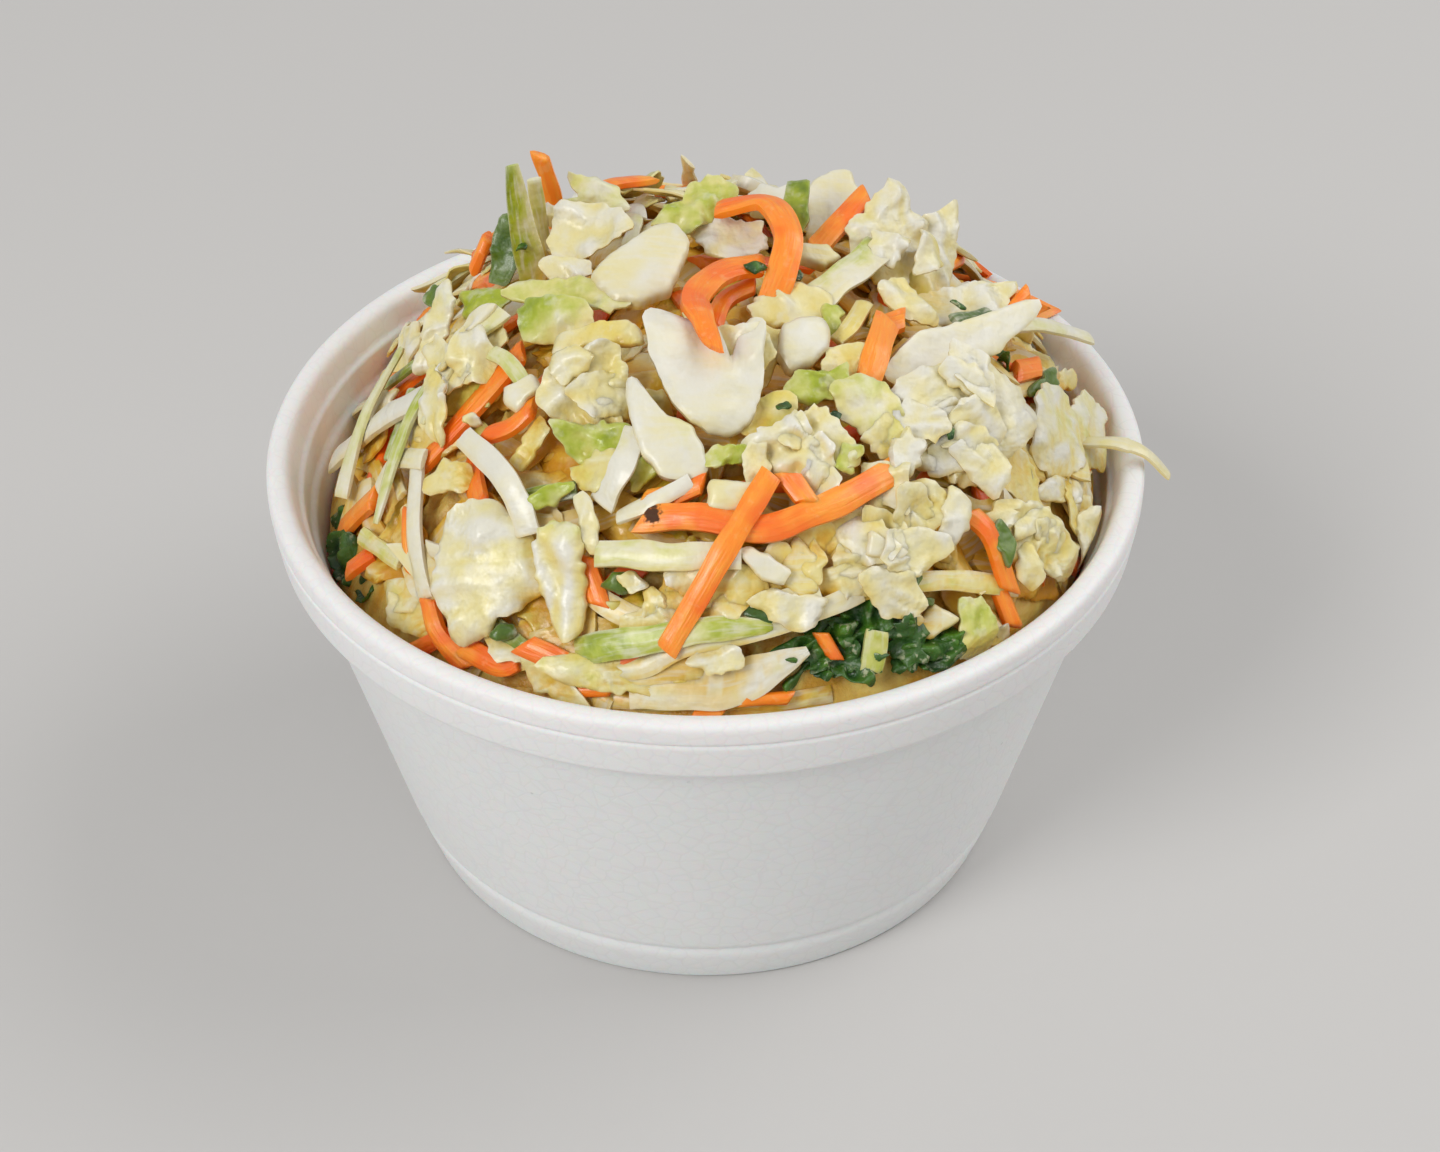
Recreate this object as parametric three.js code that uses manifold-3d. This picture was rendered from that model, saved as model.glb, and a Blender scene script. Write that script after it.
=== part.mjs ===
// A squat foam cup heaped with coleslaw: shredded and chopped cabbage, carrot and kale.
// Millimetres, +Z up, origin at the centre of the cup's underside. +X is to the right and
// the side that is eaten from faces -Y.

import * as THREE from 'three';
import { mergeVertices } from 'three/addons/utils/BufferGeometryUtils.js';
import Module from 'manifold-3d';

const wasm = await Module();
wasm.setup();

// ---- driving dimensions -------------------------------------------------------------

const CUP_HEIGHT = 60.7;
const RIM_RADIUS = 58.5;          // outside of the rolled band round the mouth
const BAND_HEIGHT = 8.9;          // the band, from its lower edge to the top
const WALL_TOP_RADIUS = 54.9;     // outside of the wall, just under the band
const WALL_FOOT_RADIUS = 43.6;    // outside of the wall, at the groove over the foot
const FOOT_HEIGHT = 7.4;
const FOOT_RADIUS = 41.6;
const FLOOR_THICKNESS = 4;
const UNDERSIDE_RECESS = 1;       // depth of the ring-shaped hollow under the floor
const CUP_SIDES = 40;

const LINING_FOOT_RADIUS = 40.7;  // inside of the wall, low down
const LINING_SLOPE = 0.256;       // how much the inside widens for each millimetre of height
const CLEARANCE = 0.35;           // between the food and the foam

const HEAP_TOP = 84.5;            // top of the packed core, under the pieces that show
const HEAP_RADIUS = 52.8;
const HEAP_FULLNESS = 2.8;        // exponent of the dome: higher is flatter on top
const EDGE_DROP = 4;              // how far the core stays below the rim all round
const HOLLOW_DROP = 8.5;          // how much lower it lies again at the hollow on the left
const HOLLOW_HEADING = THREE.MathUtils.degToRad(188);
const CORE_DETAIL = 4;            // how finely the core's surface is divided
const EDGE_BELT = 0.07;           // share of its corners' latitude that is drawn to the edge

const CARROT_THICK = 2.6;
const SHRED_THICK = 1.7;
const LEAF_THICK = 1.5;

const WELD = 1e-3;                // corners nearer than this are one corner
const SMALLEST_EDGE = 0.06;
const LEAST_OVERLAP = 1e-4;       // volume that two pieces share when they count as touching
const SEED = 4711;
const SPREAD_PLACES = 96;         // places by rule over the whole heap
const SPREAD_SPACING = 7;         // a place nearer than this to another piece stays empty
const SPREAD_LIE = 0.8;           // how far these pieces lie over the core
const SPREAD_TILT = 14;           // how far they tilt out of the slope, in degrees
const INWARD_STEP = 0.7;          // a piece that meets the foam is drawn in by these steps
const UPWARD_STEP = 0.3;
const SETTLING_STEP = 0.5;        // and one that hangs free comes down by these

// ---- small tools --------------------------------------------------------------------

function seededRandom(seed) {
  let state = seed;
  return () => {
    state = (state + 0x6d2b79f5) | 0;
    let t = Math.imul(state ^ (state >>> 15), 1 | state);
    t = (t + Math.imul(t ^ (t >>> 7), 61 | t)) ^ t;
    return ((t ^ (t >>> 14)) >>> 0) / 4294967296;
  };
}

const random = seededRandom(SEED);

function spread(least, most) {
  return least + (most - least) * random();
}

function barePositions(geometry) {
  const bare = geometry.clone();
  bare.deleteAttribute('normal');
  bare.deleteAttribute('uv');
  return bare;
}

// A closed geometry as a solid that can be joined and cut.
function toSolid(geometry) {
  const merged = mergeVertices(barePositions(geometry), 0.1 * WELD);
  return new wasm.Manifold(new wasm.Mesh({
    numProp: 3,
    vertProperties: new Float32Array(merged.attributes.position.array),
    triVerts: new Uint32Array(merged.index.array),
  }));
}

function toGeometry(solid) {
  const mesh = solid.getMesh();
  const geometry = new THREE.BufferGeometry();
  geometry.setAttribute('position', new THREE.BufferAttribute(mesh.vertProperties, 3));
  geometry.setIndex(new THREE.BufferAttribute(mesh.triVerts, 1));
  geometry.computeVertexNormals();
  return geometry;
}

// A profile of [radius, height] points turned about the vertical axis.
function turned(profile, sides) {
  const points = profile.map(([radius, height]) => new THREE.Vector2(radius, height));
  return new THREE.LatheGeometry(points, sides).rotateX(Math.PI / 2);
}

// ---- the cup ------------------------------------------------------------------------

// Half section of the cup: underside, foot, wall, band, rim, and back down the inside.
function cupProfile() {
  const bandFoot = CUP_HEIGHT - BAND_HEIGHT;
  const groove = CUP_HEIGHT - 3.2;
  const underside = [
    [0, 0], [29, 0], [30, UNDERSIDE_RECESS], [36, UNDERSIDE_RECESS], [37, 0],
    [FOOT_RADIUS - 0.7, 0],
  ];
  const foot = [
    [FOOT_RADIUS, 0.7], [FOOT_RADIUS + 1.5, 5.2], [FOOT_RADIUS + 1.8, FOOT_HEIGHT - 0.8],
    [FOOT_RADIUS + 1.4, FOOT_HEIGHT], [WALL_FOOT_RADIUS + 0.2, FOOT_HEIGHT + 0.8],
  ];
  const band = [
    [WALL_TOP_RADIUS, bandFoot - 0.8], [RIM_RADIUS - 0.9, bandFoot],
    [RIM_RADIUS - 0.3, bandFoot + 0.6], [RIM_RADIUS - 0.1, groove - 0.5],
    [RIM_RADIUS - 0.4, groove], [RIM_RADIUS, groove + 0.5], [RIM_RADIUS, CUP_HEIGHT - 1.4],
    [RIM_RADIUS - 0.6, CUP_HEIGHT - 0.3], [RIM_RADIUS - 1.5, CUP_HEIGHT],
  ];
  const lining = [
    [56, CUP_HEIGHT], [55.3, CUP_HEIGHT - 0.6], [54.6, CUP_HEIGHT - 3.5],
    [53.8, CUP_HEIGHT - 4.1], [53.3, CUP_HEIGHT - 7.8], [52.4, CUP_HEIGHT - 8.5],
    [51.1, 45.6], [50.5, 44.6], [LINING_FOOT_RADIUS, 6.6],
    [39.3, FLOOR_THICKNESS + 0.5], [37.5, FLOOR_THICKNESS], [0, FLOOR_THICKNESS],
  ];
  return [...underside, ...foot, ...band, ...lining];
}

// The space that no piece may enter: the foam, and a little air round it.
function keepOutSolid() {
  const low = 30;
  const top = CUP_HEIGHT + CLEARANCE;
  const bandFoot = CUP_HEIGHT - BAND_HEIGHT;
  return toSolid(turned([
    [liningRadius(low) - CLEARANCE, low], [RIM_RADIUS + CLEARANCE, bandFoot - 1],
    [RIM_RADIUS + CLEARANCE, CUP_HEIGHT - 1.2], [RIM_RADIUS - 1.3, top], [56, top],
    [54.9, CUP_HEIGHT - 0.6], [liningRadius(55) - CLEARANCE, 55],
    [liningRadius(low) - CLEARANCE, low],
  ], CUP_SIDES));
}

// Inside radius of the foam at a height, without the small steps near the mouth.
function liningRadius(height) {
  return LINING_FOOT_RADIUS + LINING_SLOPE * (height - 6.6);
}

// ---- the heap's core ----------------------------------------------------------------

// Height of the packed core at a point in plan: a full dome that starts just below the
// rim, lower at the hollow on the left, with shallow lumps.
function heapHeight(x, y) {
  const share = Math.min(Math.hypot(x, y) / HEAP_RADIUS, 1.05);
  const towardsHollow = Math.max(0, Math.cos(Math.atan2(y, x) - HOLLOW_HEADING));
  const edge = CUP_HEIGHT - EDGE_DROP - HOLLOW_DROP * towardsHollow ** 2;
  const dome = (HEAP_TOP - edge) * (1 - share ** HEAP_FULLNESS);
  const lumps = 1.2 * Math.sin(x / 6.5 + 0.6) * Math.cos(y / 7.5 - 1.2)
    + 0.7 * Math.sin((x - y) / 4.2);
  return edge + dome + lumps * (1 - share ** 2);
}

// Direction straight out of the core at a point in plan.
function heapNormal(x, y) {
  const step = 0.5;
  const alongX = (heapHeight(x + step, y) - heapHeight(x - step, y)) / (2 * step);
  const alongY = (heapHeight(x, y + step) - heapHeight(x, y - step)) / (2 * step);
  return new THREE.Vector3(-alongX, -alongY, 1).normalize();
}

// The core fills the cup from its floor and rises over the rim. It is an evenly divided
// ball: its upper half is spread over the heap, and its lower half down the wall and floor.
function coreSolid() {
  const floor = FLOOR_THICKNESS + CLEARANCE;
  const geometry = new THREE.IcosahedronGeometry(1, CORE_DETAIL);
  const position = geometry.attributes.position;
  const point = new THREE.Vector3();
  for (let i = 0; i < position.count; i += 1) {
    point.fromBufferAttribute(position, i);
    const azimuth = Math.atan2(point.y, point.x);
    let latitude = Math.asin(THREE.MathUtils.clamp(point.z, -1, 1)) / (Math.PI / 2);
    if (Math.abs(latitude) < EDGE_BELT) latitude = 0;
    const edge = heapHeight(HEAP_RADIUS * Math.cos(azimuth), HEAP_RADIUS * Math.sin(azimuth));
    const down = Math.min(1, -2 * latitude);
    const level = latitude > 0 ? edge : edge + (floor - edge) * down;
    const share = latitude > 0 ? 1 - latitude : Math.min(1, 2 + 2 * latitude);
    const radius = share * Math.min(HEAP_RADIUS, liningRadius(level) - CLEARANCE);
    const x = radius * Math.cos(azimuth);
    const y = radius * Math.sin(azimuth);
    position.setXYZ(i, x, y, latitude > 0 ? heapHeight(x, y) : level);
  }
  return toSolid(geometry);
}

// ---- kinds of pieces ----------------------------------------------------------------

// A thin closed solid on a curved middle surface. middle(u, v) gives the point and the
// half thickness as a vector, and both faces are split into triangles alike.
function sheet(longSteps, wideSteps, middle) {
  const faces = [[], []];
  for (let i = 0; i <= longSteps; i += 1) {
    for (let j = 0; j <= wideSteps; j += 1) {
      const { at, half } = middle(i / longSteps, j / wideSteps);
      faces[0].push(at.x + half.x, at.y + half.y, at.z + half.z);
      faces[1].push(at.x - half.x, at.y - half.y, at.z - half.z);
    }
  }
  const row = wideSteps + 1;
  const under = (longSteps + 1) * row;
  const index = [];
  for (let i = 0; i < longSteps; i += 1) {
    for (let j = 0; j < wideSteps; j += 1) {
      const a = i * row + j;
      const b = a + row;
      index.push(a, b, b + 1, a, b + 1, a + 1);
      index.push(under + a, under + b + 1, under + b, under + a, under + a + 1, under + b + 1);
    }
  }
  const edge = [];
  for (let i = 0; i < longSteps; i += 1) edge.push(i * row);
  for (let j = 0; j < wideSteps; j += 1) edge.push(longSteps * row + j);
  for (let i = longSteps; i > 0; i -= 1) edge.push(i * row + wideSteps);
  for (let j = wideSteps; j > 0; j -= 1) edge.push(j);
  edge.forEach((p, k) => {
    const q = edge[(k + 1) % edge.length];
    index.push(under + p, under + q, q, under + p, q, p);
  });
  const geometry = new THREE.BufferGeometry();
  geometry.setAttribute('position', new THREE.Float32BufferAttribute([...faces[0], ...faces[1]], 3));
  geometry.setIndex(index);
  return geometry;
}

// A shred: a flat strip of cabbage or a stick of carrot along a smooth route of points.
// Its broad side looks out of the heap, or towards facing where that is given.
function shred(route, wide, thick, facing) {
  const points = route.map((point) => new THREE.Vector3(...point));
  const curve = new THREE.CatmullRomCurve3(points, false, 'centripetal');
  const steps = points.length === 2 ? 1 : Math.min(6, 2 * points.length - 3);
  return sheet(steps, 1, (u, v) => {
    const at = curve.getPoint(u);
    const along = curve.getTangent(u);
    const out = facing ? new THREE.Vector3(...facing) : heapNormal(at.x, at.y);
    out.addScaledVector(along, -out.dot(along)).normalize();
    const across = new THREE.Vector3().crossVectors(out, along);
    const ends = 1 - 0.3 * Math.abs(2 * u - 1) ** 4;
    at.addScaledVector(across, wide * ends * (v - 0.5));
    return { at, half: out.multiplyScalar(0.5 * thick * ends) };
  });
}

// Turns a geometry that is made about the origin, long side along X, so that its long side
// has a heading in plan and a rise, with its top out of the heap, and moves it to its place.
function placed(geometry, [x, y, z], heading, rise, roll = 0) {
  const turn = THREE.MathUtils.degToRad(heading);
  const lift = THREE.MathUtils.degToRad(rise);
  const along = new THREE.Vector3(
    Math.cos(turn) * Math.cos(lift), Math.sin(turn) * Math.cos(lift), Math.sin(lift));
  const out = heapNormal(x, y);
  out.addScaledVector(along, -out.dot(along)).normalize();
  out.applyAxisAngle(along, THREE.MathUtils.degToRad(roll));
  const across = new THREE.Vector3().crossVectors(out, along);
  const matrix = new THREE.Matrix4().makeBasis(along, across, out).setPosition(x, y, z);
  return geometry.applyMatrix4(matrix);
}

// A chopped piece of leaf: an uneven outline, gathered into waves.
function leaf(long, wide, wave) {
  const longSteps = long < 13 ? 3 : 4;
  const phase = spread(0, 6.3);
  const skew = spread(-0.25, 0.25);
  const surface = (s, t) => {
    const narrow = 1 - 0.45 * Math.abs(2 * s) ** 3;
    const short = 1 - 0.35 * Math.abs(2 * t) ** 3;
    const ripple = Math.sin(5.5 * s + phase) * Math.cos(4 * t + 0.5 * phase);
    return new THREE.Vector3(long * (s + skew * t) * short, wide * t * narrow, wave * ripple);
  };
  return sheet(longSteps, 2, (u, v) => {
    const s = u - 0.5;
    const t = v - 0.5;
    const at = surface(s, t);
    const along = surface(s + 0.05, t).sub(surface(s - 0.05, t));
    const across = surface(s, t + 0.05).sub(surface(s, t - 0.05));
    const half = new THREE.Vector3().crossVectors(along, across).normalize();
    return { at, half: half.multiplyScalar(0.5 * LEAF_THICK) };
  });
}

// A chopped piece of rib or a cube of carrot: a rounded lump.
function chunk(long, wide, thick) {
  const lump = new THREE.SphereGeometry(0.5, 6, 4).rotateX(Math.PI / 2);
  return lump.scale(long, wide, thick);
}

// ---- pieces that are placed by hand -------------------------------------------------

// Routes of the carrot shreds, each with its width.
const carrotShreds = [
  { wide: 2.8, route: [[-20, 22, 78], [-20.5, 21.5, 85], [-22, 20.5, 92]], facing: [0, -1, 0.3] },
  { wide: 4, route: [[1.5, 10, 90], [8, 9, 91.5], [10.5, 2, 91.5], [10, -2.5, 89], [8, -6.5, 85]] },
  { wide: 3.6, route: [[7, 0, 88], [1.5, -4.5, 88.5], [-2, -10.5, 88], [0, -16, 86.5]] },
  { wide: 3, route: [[6.5, -2.5, 86], [2.5, -5.5, 86], [1, -10.5, 85.5]] },
  { wide: 3.8, route: [[14, 8, 84.5], [18, 13, 86.5], [21.5, 17, 88]] },
  { wide: 4.2, route: [[20, -19.5, 83], [21.5, -15.5, 85], [23, -8.5, 85]] },
  { wide: 3.4, route: [[32.5, -30.5, 71.5], [35.5, -32, 68.5], [38, -34.5, 62]] },
  { wide: 3, route: [[36.5, -34, 62.5], [38.5, -35.5, 58.5]] },
  { wide: 3.8, route: [[-7.5, -37.5, 76], [-0.5, -39.5, 77], [6.5, -40.5, 76], [12.5, -39, 76]] },
  { wide: 4.2, route: [[12.5, -39, 76], [18, -35.5, 77], [24.5, -29.5, 77]] },
  { wide: 3.6, route: [[8, -36, 80.5], [2, -44, 73.5], [-4.5, -49, 63.5]] },
  { wide: 3.7, route: [[-23, -9.5, 81], [-28.5, -14, 76.5], [-35.5, -17.5, 69.5]] },
  { wide: 3, route: [[-21, -21.5, 81], [-24, -22.5, 78.5], [-27.5, -21.5, 76.5]] },
  { wide: 1.8, route: [[-37.5, -22, 65.5], [-37.5, -25.5, 63.5], [-37, -29, 60.5]] },
  { wide: 3, route: [[-34.5, -34, 60.5], [-33, -38, 58], [-29, -42.5, 56.5]] },
  { wide: 3.6, route: [[-29.5, -41, 58.5], [-25, -44.5, 58.5], [-22.5, -45, 60]] },
  { wide: 3.8, route: [[-22, -44.5, 62], [-15.5, -48, 61]] },
  { wide: 3.4, route: [[-14.5, -38.5, 71], [-12.5, -43.5, 67]] },
  { wide: 4, route: [[-42.5, -15.5, 62.5], [-48, -11, 53.5]] },
  { wide: 2.2, route: [[-16, -47.5, 58], [-11, -48.5, 59]] },
  { wide: 2.2, route: [[39.5, 7, 75], [43, 11, 76.5]] },
];

// Routes of the strips of cabbage and of its white ribs.
const cabbageShreds = [
  { wide: 3, route: [[-23.5, 10, 78], [-24, 10.5, 86], [-25, 11, 96]], facing: [0.3, -1, 0.3] },
  { wide: 2.6, route: [[-22, 16, 78], [-22.5, 16, 86], [-23, 16, 93]], facing: [0.3, -1, 0.3] },
  { wide: 3.4, route: [[-30, -21.5, 76.5], [-25, -30, 77], [-22.5, -33.5, 75], [-21.5, -36, 72]] },
  { wide: 2.8, route: [[-36.5, -17.5, 70], [-36.5, -26, 65], [-35, -33, 59.5]] },
  { wide: 3.4, route: [[-34, -11.5, 75.5], [-41.5, -6, 66.5], [-51, 2.5, 51.5]] },
  { wide: 3.4, route: [[-35.5, -19, 71], [-39.5, -15.5, 68], [-42, -16.5, 64]] },
  { wide: 3, route: [[-44.5, -18.5, 58.5], [-38.5, -27.5, 61]] },
  { wide: 3.8, route: [[-7, -30.5, 82.5], [-10, -33.5, 80], [-12.5, -35, 76]] },
  { wide: 2.4, route: [[-1.5, -36, 79.5], [-6, -37, 78], [-10.5, -37, 75.5]] },
  { wide: 3.6, route: [[-13, -40, 72], [-4, -42.5, 73.5], [4.5, -43, 74]] },
  {
    wide: 2.8,
    route: [[-17.5, -47, 59], [-7.5, -49, 62], [-0.5, -48.5, 65.5], [9, -47, 67], [19, -42.5, 68.5]],
  },
  { wide: 4.4, route: [[-9, -49.5, 59.5], [-0.5, -50.5, 60], [6.5, -50, 60.5], [12, -47.5, 63.5]] },
  { wide: 2.4, route: [[-14.5, -48.5, 57], [-7.5, -50, 57.5], [-0.5, -50.7, 58]] },
  { wide: 2.4, route: [[2.5, -50.7, 58], [9, -50, 57.5], [15.5, -48.5, 57.5]] },
  { wide: 3.4, route: [[20, -48, 60.5], [21, -45, 64.5]] },
  { wide: 3, route: [[19, -42, 68.5], [29, -38, 66.5], [39, -33, 61.5]] },
  { wide: 4.6, route: [[22, -15, 84.5], [32, -8, 83.5], [38, -3, 81.5], [44, 4, 80]] },
  { wide: 5, route: [[13.5, -5, 85.5], [18.5, 1, 86], [23, 8, 85.5]] },
  { wide: 2.8, route: [[16.5, -12.5, 84.5], [18.5, -10.5, 85.5], [20.5, -3, 84]] },
  { wide: 2.8, route: [[39, 4, 76], [45.5, 8, 73], [51.5, 12, 70]] },
  {
    wide: 5,
    route: [
      [-6, -15.5, 89], [-5, -22.5, 87], [-3, -29, 85], [1.5, -31, 85], [4.5, -27, 86.5], [5.5, -15, 88],
    ],
  },
  { wide: 6, route: [[-9, -23.5, 85.5], [-6.5, -29.5, 83], [-1.5, -35, 80.5]] },
  { wide: 4.6, route: [[-15.5, -46.5, 62], [-7.5, -48, 65], [2, -48, 67], [10.5, -46.5, 66.5]] },
  { wide: 4.4, route: [[16.5, -31.5, 78], [19.5, -28, 79], [23.5, -24, 79.5]] },
  { wide: 2, route: [[-38, -5, 72], [-41, -12.5, 66]] },
  { wide: 3, route: [[-26, -41, 62], [-22, -44.5, 61]] },
  { wide: 2.8, route: [[-22, -31.5, 74], [-15.5, -32, 76]] },
];

// The strip at the right that lies over the rim and hangs down outside it.
const rimStrip = {
  wide: 3,
  route: [[49, -4, 62.6], [54, -5, 63.2], [58, -5.5, 62.2], [61.5, -6, 58.5]],
};

// Leaves and leaf chips: place, heading, rise, length, width, depth of the waves and roll.
const leaves = [
  { at: [33, -16, 77], heading: 48, rise: -14, size: [20, 16], wave: 2.2 },
  { at: [-26.5, -36, 67.5], heading: -10, rise: 20, size: [16, 15], wave: 2 },
  { at: [12.5, -29.5, 81.5], heading: 20, rise: -6, size: [14, 10], wave: 2 },
  { at: [22.5, -35.5, 72.5], heading: 35, rise: 5, size: [16, 10], wave: 1.8 },
  { at: [42, -25, 63.5], heading: 20, rise: -38, size: [14, 10], wave: 1.6 },
  { at: [-14.5, -22, 83.5], heading: -8, rise: 12, size: [13, 11], wave: 2 },
  { at: [-15, 12, 83.5], heading: -27, rise: 10, size: [15, 9], wave: 1.8 },
  { at: [-1, 13, 87.5], heading: 33, rise: 4, size: [13, 7], wave: 1.8 },
  { at: [-18, 1, 83], heading: -30, rise: 12, size: [18, 5], wave: 1.6 },
  { at: [-13.5, -13.5, 85.5], heading: -34, rise: 6, size: [14, 5], wave: 1.4 },
  { at: [-18, -10, 84], heading: -28, rise: 8, size: [9, 7], wave: 1 },
  { at: [23, 9, 86], heading: 80, rise: 30, size: [14, 8], wave: 1.6, roll: 20 },
  { at: [30, 10, 82.5], heading: 70, rise: 35, size: [12, 7], wave: 1.5, roll: 30 },
  { at: [33, 2, 80], heading: 15, rise: -10, size: [17, 7], wave: 1.2 },
  { at: [12.5, 15.5, 86], heading: 90, rise: 30, size: [12, 4], wave: 0.8, roll: 40 },
  { at: [47, -6, 65.5], heading: -50, rise: -40, size: [12, 8], wave: 1.2 },
  { at: [20, -21.5, 82], heading: -60, rise: -30, size: [9, 6], wave: 1.2 },
  { at: [14, -20, 84], heading: 25, rise: 0, size: [9, 5], wave: 1 },
  { at: [10.5, -42, 71], heading: 26, rise: 8, size: [11, 8], wave: 1.4 },
  { at: [-17.5, -41, 67], heading: -86, rise: -42, size: [13, 6], wave: 1 },
  { at: [-35.5, 2, 75.5], heading: -100, rise: -24, size: [15, 5], wave: 0.8, roll: 30 },
  { at: [-40, 1, 68], heading: -140, rise: -40, size: [12, 6], wave: 1 },
  { at: [-30, -7, 78], heading: -136, rise: -35, size: [14, 7], wave: 2 },
  { at: [-31, -15, 74], heading: 180, rise: -38, size: [11, 6], wave: 1.6 },
  { at: [-28.5, 6, 79], heading: 5, rise: 20, size: [9, 6], wave: 1 },
  { at: [-26, 13, 80], heading: 100, rise: 60, size: [9, 4], wave: 0.8, roll: 30 },
  { at: [-14, 20, 84.5], heading: 130, rise: 25, size: [11, 5], wave: 1.2 },
  { at: [33.5, -39, 60.5], heading: 68, rise: 42, size: [8, 6], wave: 0.8 },
  { at: [-37, -31, 58], heading: -50, rise: 8, size: [12, 5], wave: 1 },
  { at: [-14.5, -29, 78.5], heading: -30, rise: -4, size: [11, 6], wave: 1 },
  { at: [-38.5, 30, 63], heading: 120, rise: -10, size: [9, 4], wave: 0.6 },
];

// Curly kale: the dark patches at the front right and beside the wall on the left.
const kaleTufts = [
  { at: [14.5, -46.3, 62.3], heading: 25, rise: 14, size: [12, 8], wave: 2.2 },
  { at: [26.5, -43.5, 59], heading: 32, rise: 2, size: [12, 7], wave: 2.2 },
  { at: [20.5, -44, 63], heading: 33, rise: 8, size: [10, 7], wave: 2 },
  { at: [-46.5, -13, 51.5], heading: -70, rise: -4, size: [10, 6], wave: 1.6 },
  { at: [-43.5, -21, 52], heading: -65, rise: 0, size: [8, 5], wave: 1.4 },
];

// Chopped ribs of cabbage and cubes of carrot: place, heading, rise and size.
const chunks = [
  { at: [-8, 2, 86], heading: 41, rise: 14, size: [15, 8.5, 6] },
  { at: [12.5, -15.5, 85.5], heading: 47, rise: 4, size: [9, 6.5, 6] },
  { at: [16.5, 13, 88.5], heading: 80, rise: 62, size: [13, 7, 5] },
  { at: [8, 16, 86.5], heading: 20, rise: 0, size: [10, 6, 5] },
  { at: [6.5, 5.5, 86.5], heading: 35, rise: 0, size: [9, 7, 5] },
  { at: [13, -5.5, 85], heading: 20, rise: 0, size: [7, 5, 5] },
  { at: [3, -35.5, 78], heading: 3, rise: 0, size: [9, 6, 5] },
  { at: [23, -6.5, 83.5], heading: 46, rise: -10, size: [6.5, 4.5, 5] },
  { at: [42, 0, 72], heading: 57, rise: -24, size: [6, 4.5, 4.5] },
  { at: [-44, -21, 56.5], heading: -43, rise: 20, size: [7, 4.5, 4.5] },
  { at: [-12, -21.5, 86], heading: 58, rise: 10, size: [4.5, 4, 4.5] },
  { at: [37, -31.5, 67], heading: 74, rise: 25, size: [5.5, 3.5, 3] },
  { at: [25, -40, 67.5], heading: 33, rise: 0, size: [5, 3, 3] },
];

function handPlaced() {
  const pieces = [];
  for (const { at, heading, rise, size } of chunks) {
    pieces.push(placed(chunk(...size), at, heading, rise));
  }
  for (const { at, heading, rise, size, wave, roll } of [...leaves, ...kaleTufts]) {
    pieces.push(placed(leaf(...size, wave), at, heading, rise, roll));
  }
  for (const { route, wide, facing } of cabbageShreds) {
    pieces.push(shred(route, wide, SHRED_THICK, facing));
  }
  for (const { route, wide, facing } of carrotShreds) {
    pieces.push(shred(route, wide, CARROT_THICK, facing));
  }
  return pieces;
}

// ---- pieces that are spread by rule -------------------------------------------------

// Places in plan on a sunflower spiral over the whole heap, as even as scattered food is.
function sunflower(count) {
  const outermost = HEAP_RADIUS - 4;
  const goldenAngle = Math.PI * (3 - Math.sqrt(5));
  return Array.from({ length: count }, (_, i) => {
    const radius = outermost * Math.sqrt((i + 0.5) / count);
    return [radius * Math.cos(i * goldenAngle), radius * Math.sin(i * goldenAngle)];
  });
}

// Chips, strips and carrots in turn, lying along the slope, wherever the heap is bare.
function spreadPieces(taken) {
  const pieces = [];
  sunflower(SPREAD_PLACES).forEach(([x, y]) => {
    if (taken.some(([px, py]) => Math.hypot(px - x, py - y) < SPREAD_SPACING)) return;
    taken.push([x, y]);
    const heading = spread(0, 360);
    const turn = THREE.MathUtils.degToRad(heading);
    const reach = 4;
    const ahead = heapHeight(x + reach * Math.cos(turn), y + reach * Math.sin(turn));
    const behind = heapHeight(x - reach * Math.cos(turn), y - reach * Math.sin(turn));
    const slope = THREE.MathUtils.radToDeg(Math.atan2(ahead - behind, 2 * reach));
    const rise = slope + spread(-SPREAD_TILT, SPREAD_TILT);
    const at = [x, y, heapHeight(x, y) + SPREAD_LIE];
    const kind = pieces.length % 4;
    if (kind < 2) {
      pieces.push(placed(leaf(spread(11, 16), spread(7, 11), spread(1, 2)), at, heading, rise));
    } else {
      const long = spread(14, 24);
      const bow = spread(-3, 3);
      const width = kind === 2 ? spread(3, 4.4) : spread(2.8, 3.6);
      const thick = kind === 2 ? SHRED_THICK : CARROT_THICK;
      const straight = [[-long / 2, 0, -1], [0, bow, 0.6], [long / 2, 0, -1]];
      const flat = shred(straight, width, thick, [0, 0, 1]);
      pieces.push(placed(flat, at, heading, rise));
    }
  });
  return pieces;
}

// ---- joining the heap ---------------------------------------------------------------

function crosses(a, b) {
  return a.intersect(b).volume() > LEAST_OVERLAP;
}

// Draws a piece in towards the middle of the cup until it clears the foam. A piece that
// still meets the foam after that is left out.
function drawnIn(solid, keepOut) {
  let clear = solid;
  for (let step = 0; step < 8 && crosses(clear, keepOut); step += 1) {
    const { min, max } = clear.boundingBox();
    const middle = new THREE.Vector2((min[0] + max[0]) / 2, (min[1] + max[1]) / 2);
    middle.setLength(INWARD_STEP);
    clear = clear.translate([-middle.x, -middle.y, UPWARD_STEP]);
  }
  return crosses(clear, keepOut) ? null : clear;
}

// Lowers a piece that would hang over the heap until it lies on it.
function settled(solid, heap) {
  let low = solid;
  for (let step = 0; step < 12 && !crosses(low, heap); step += 1) {
    low = low.translate([0, 0, -SETTLING_STEP]);
  }
  return crosses(low, heap) ? low : null;
}

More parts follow.
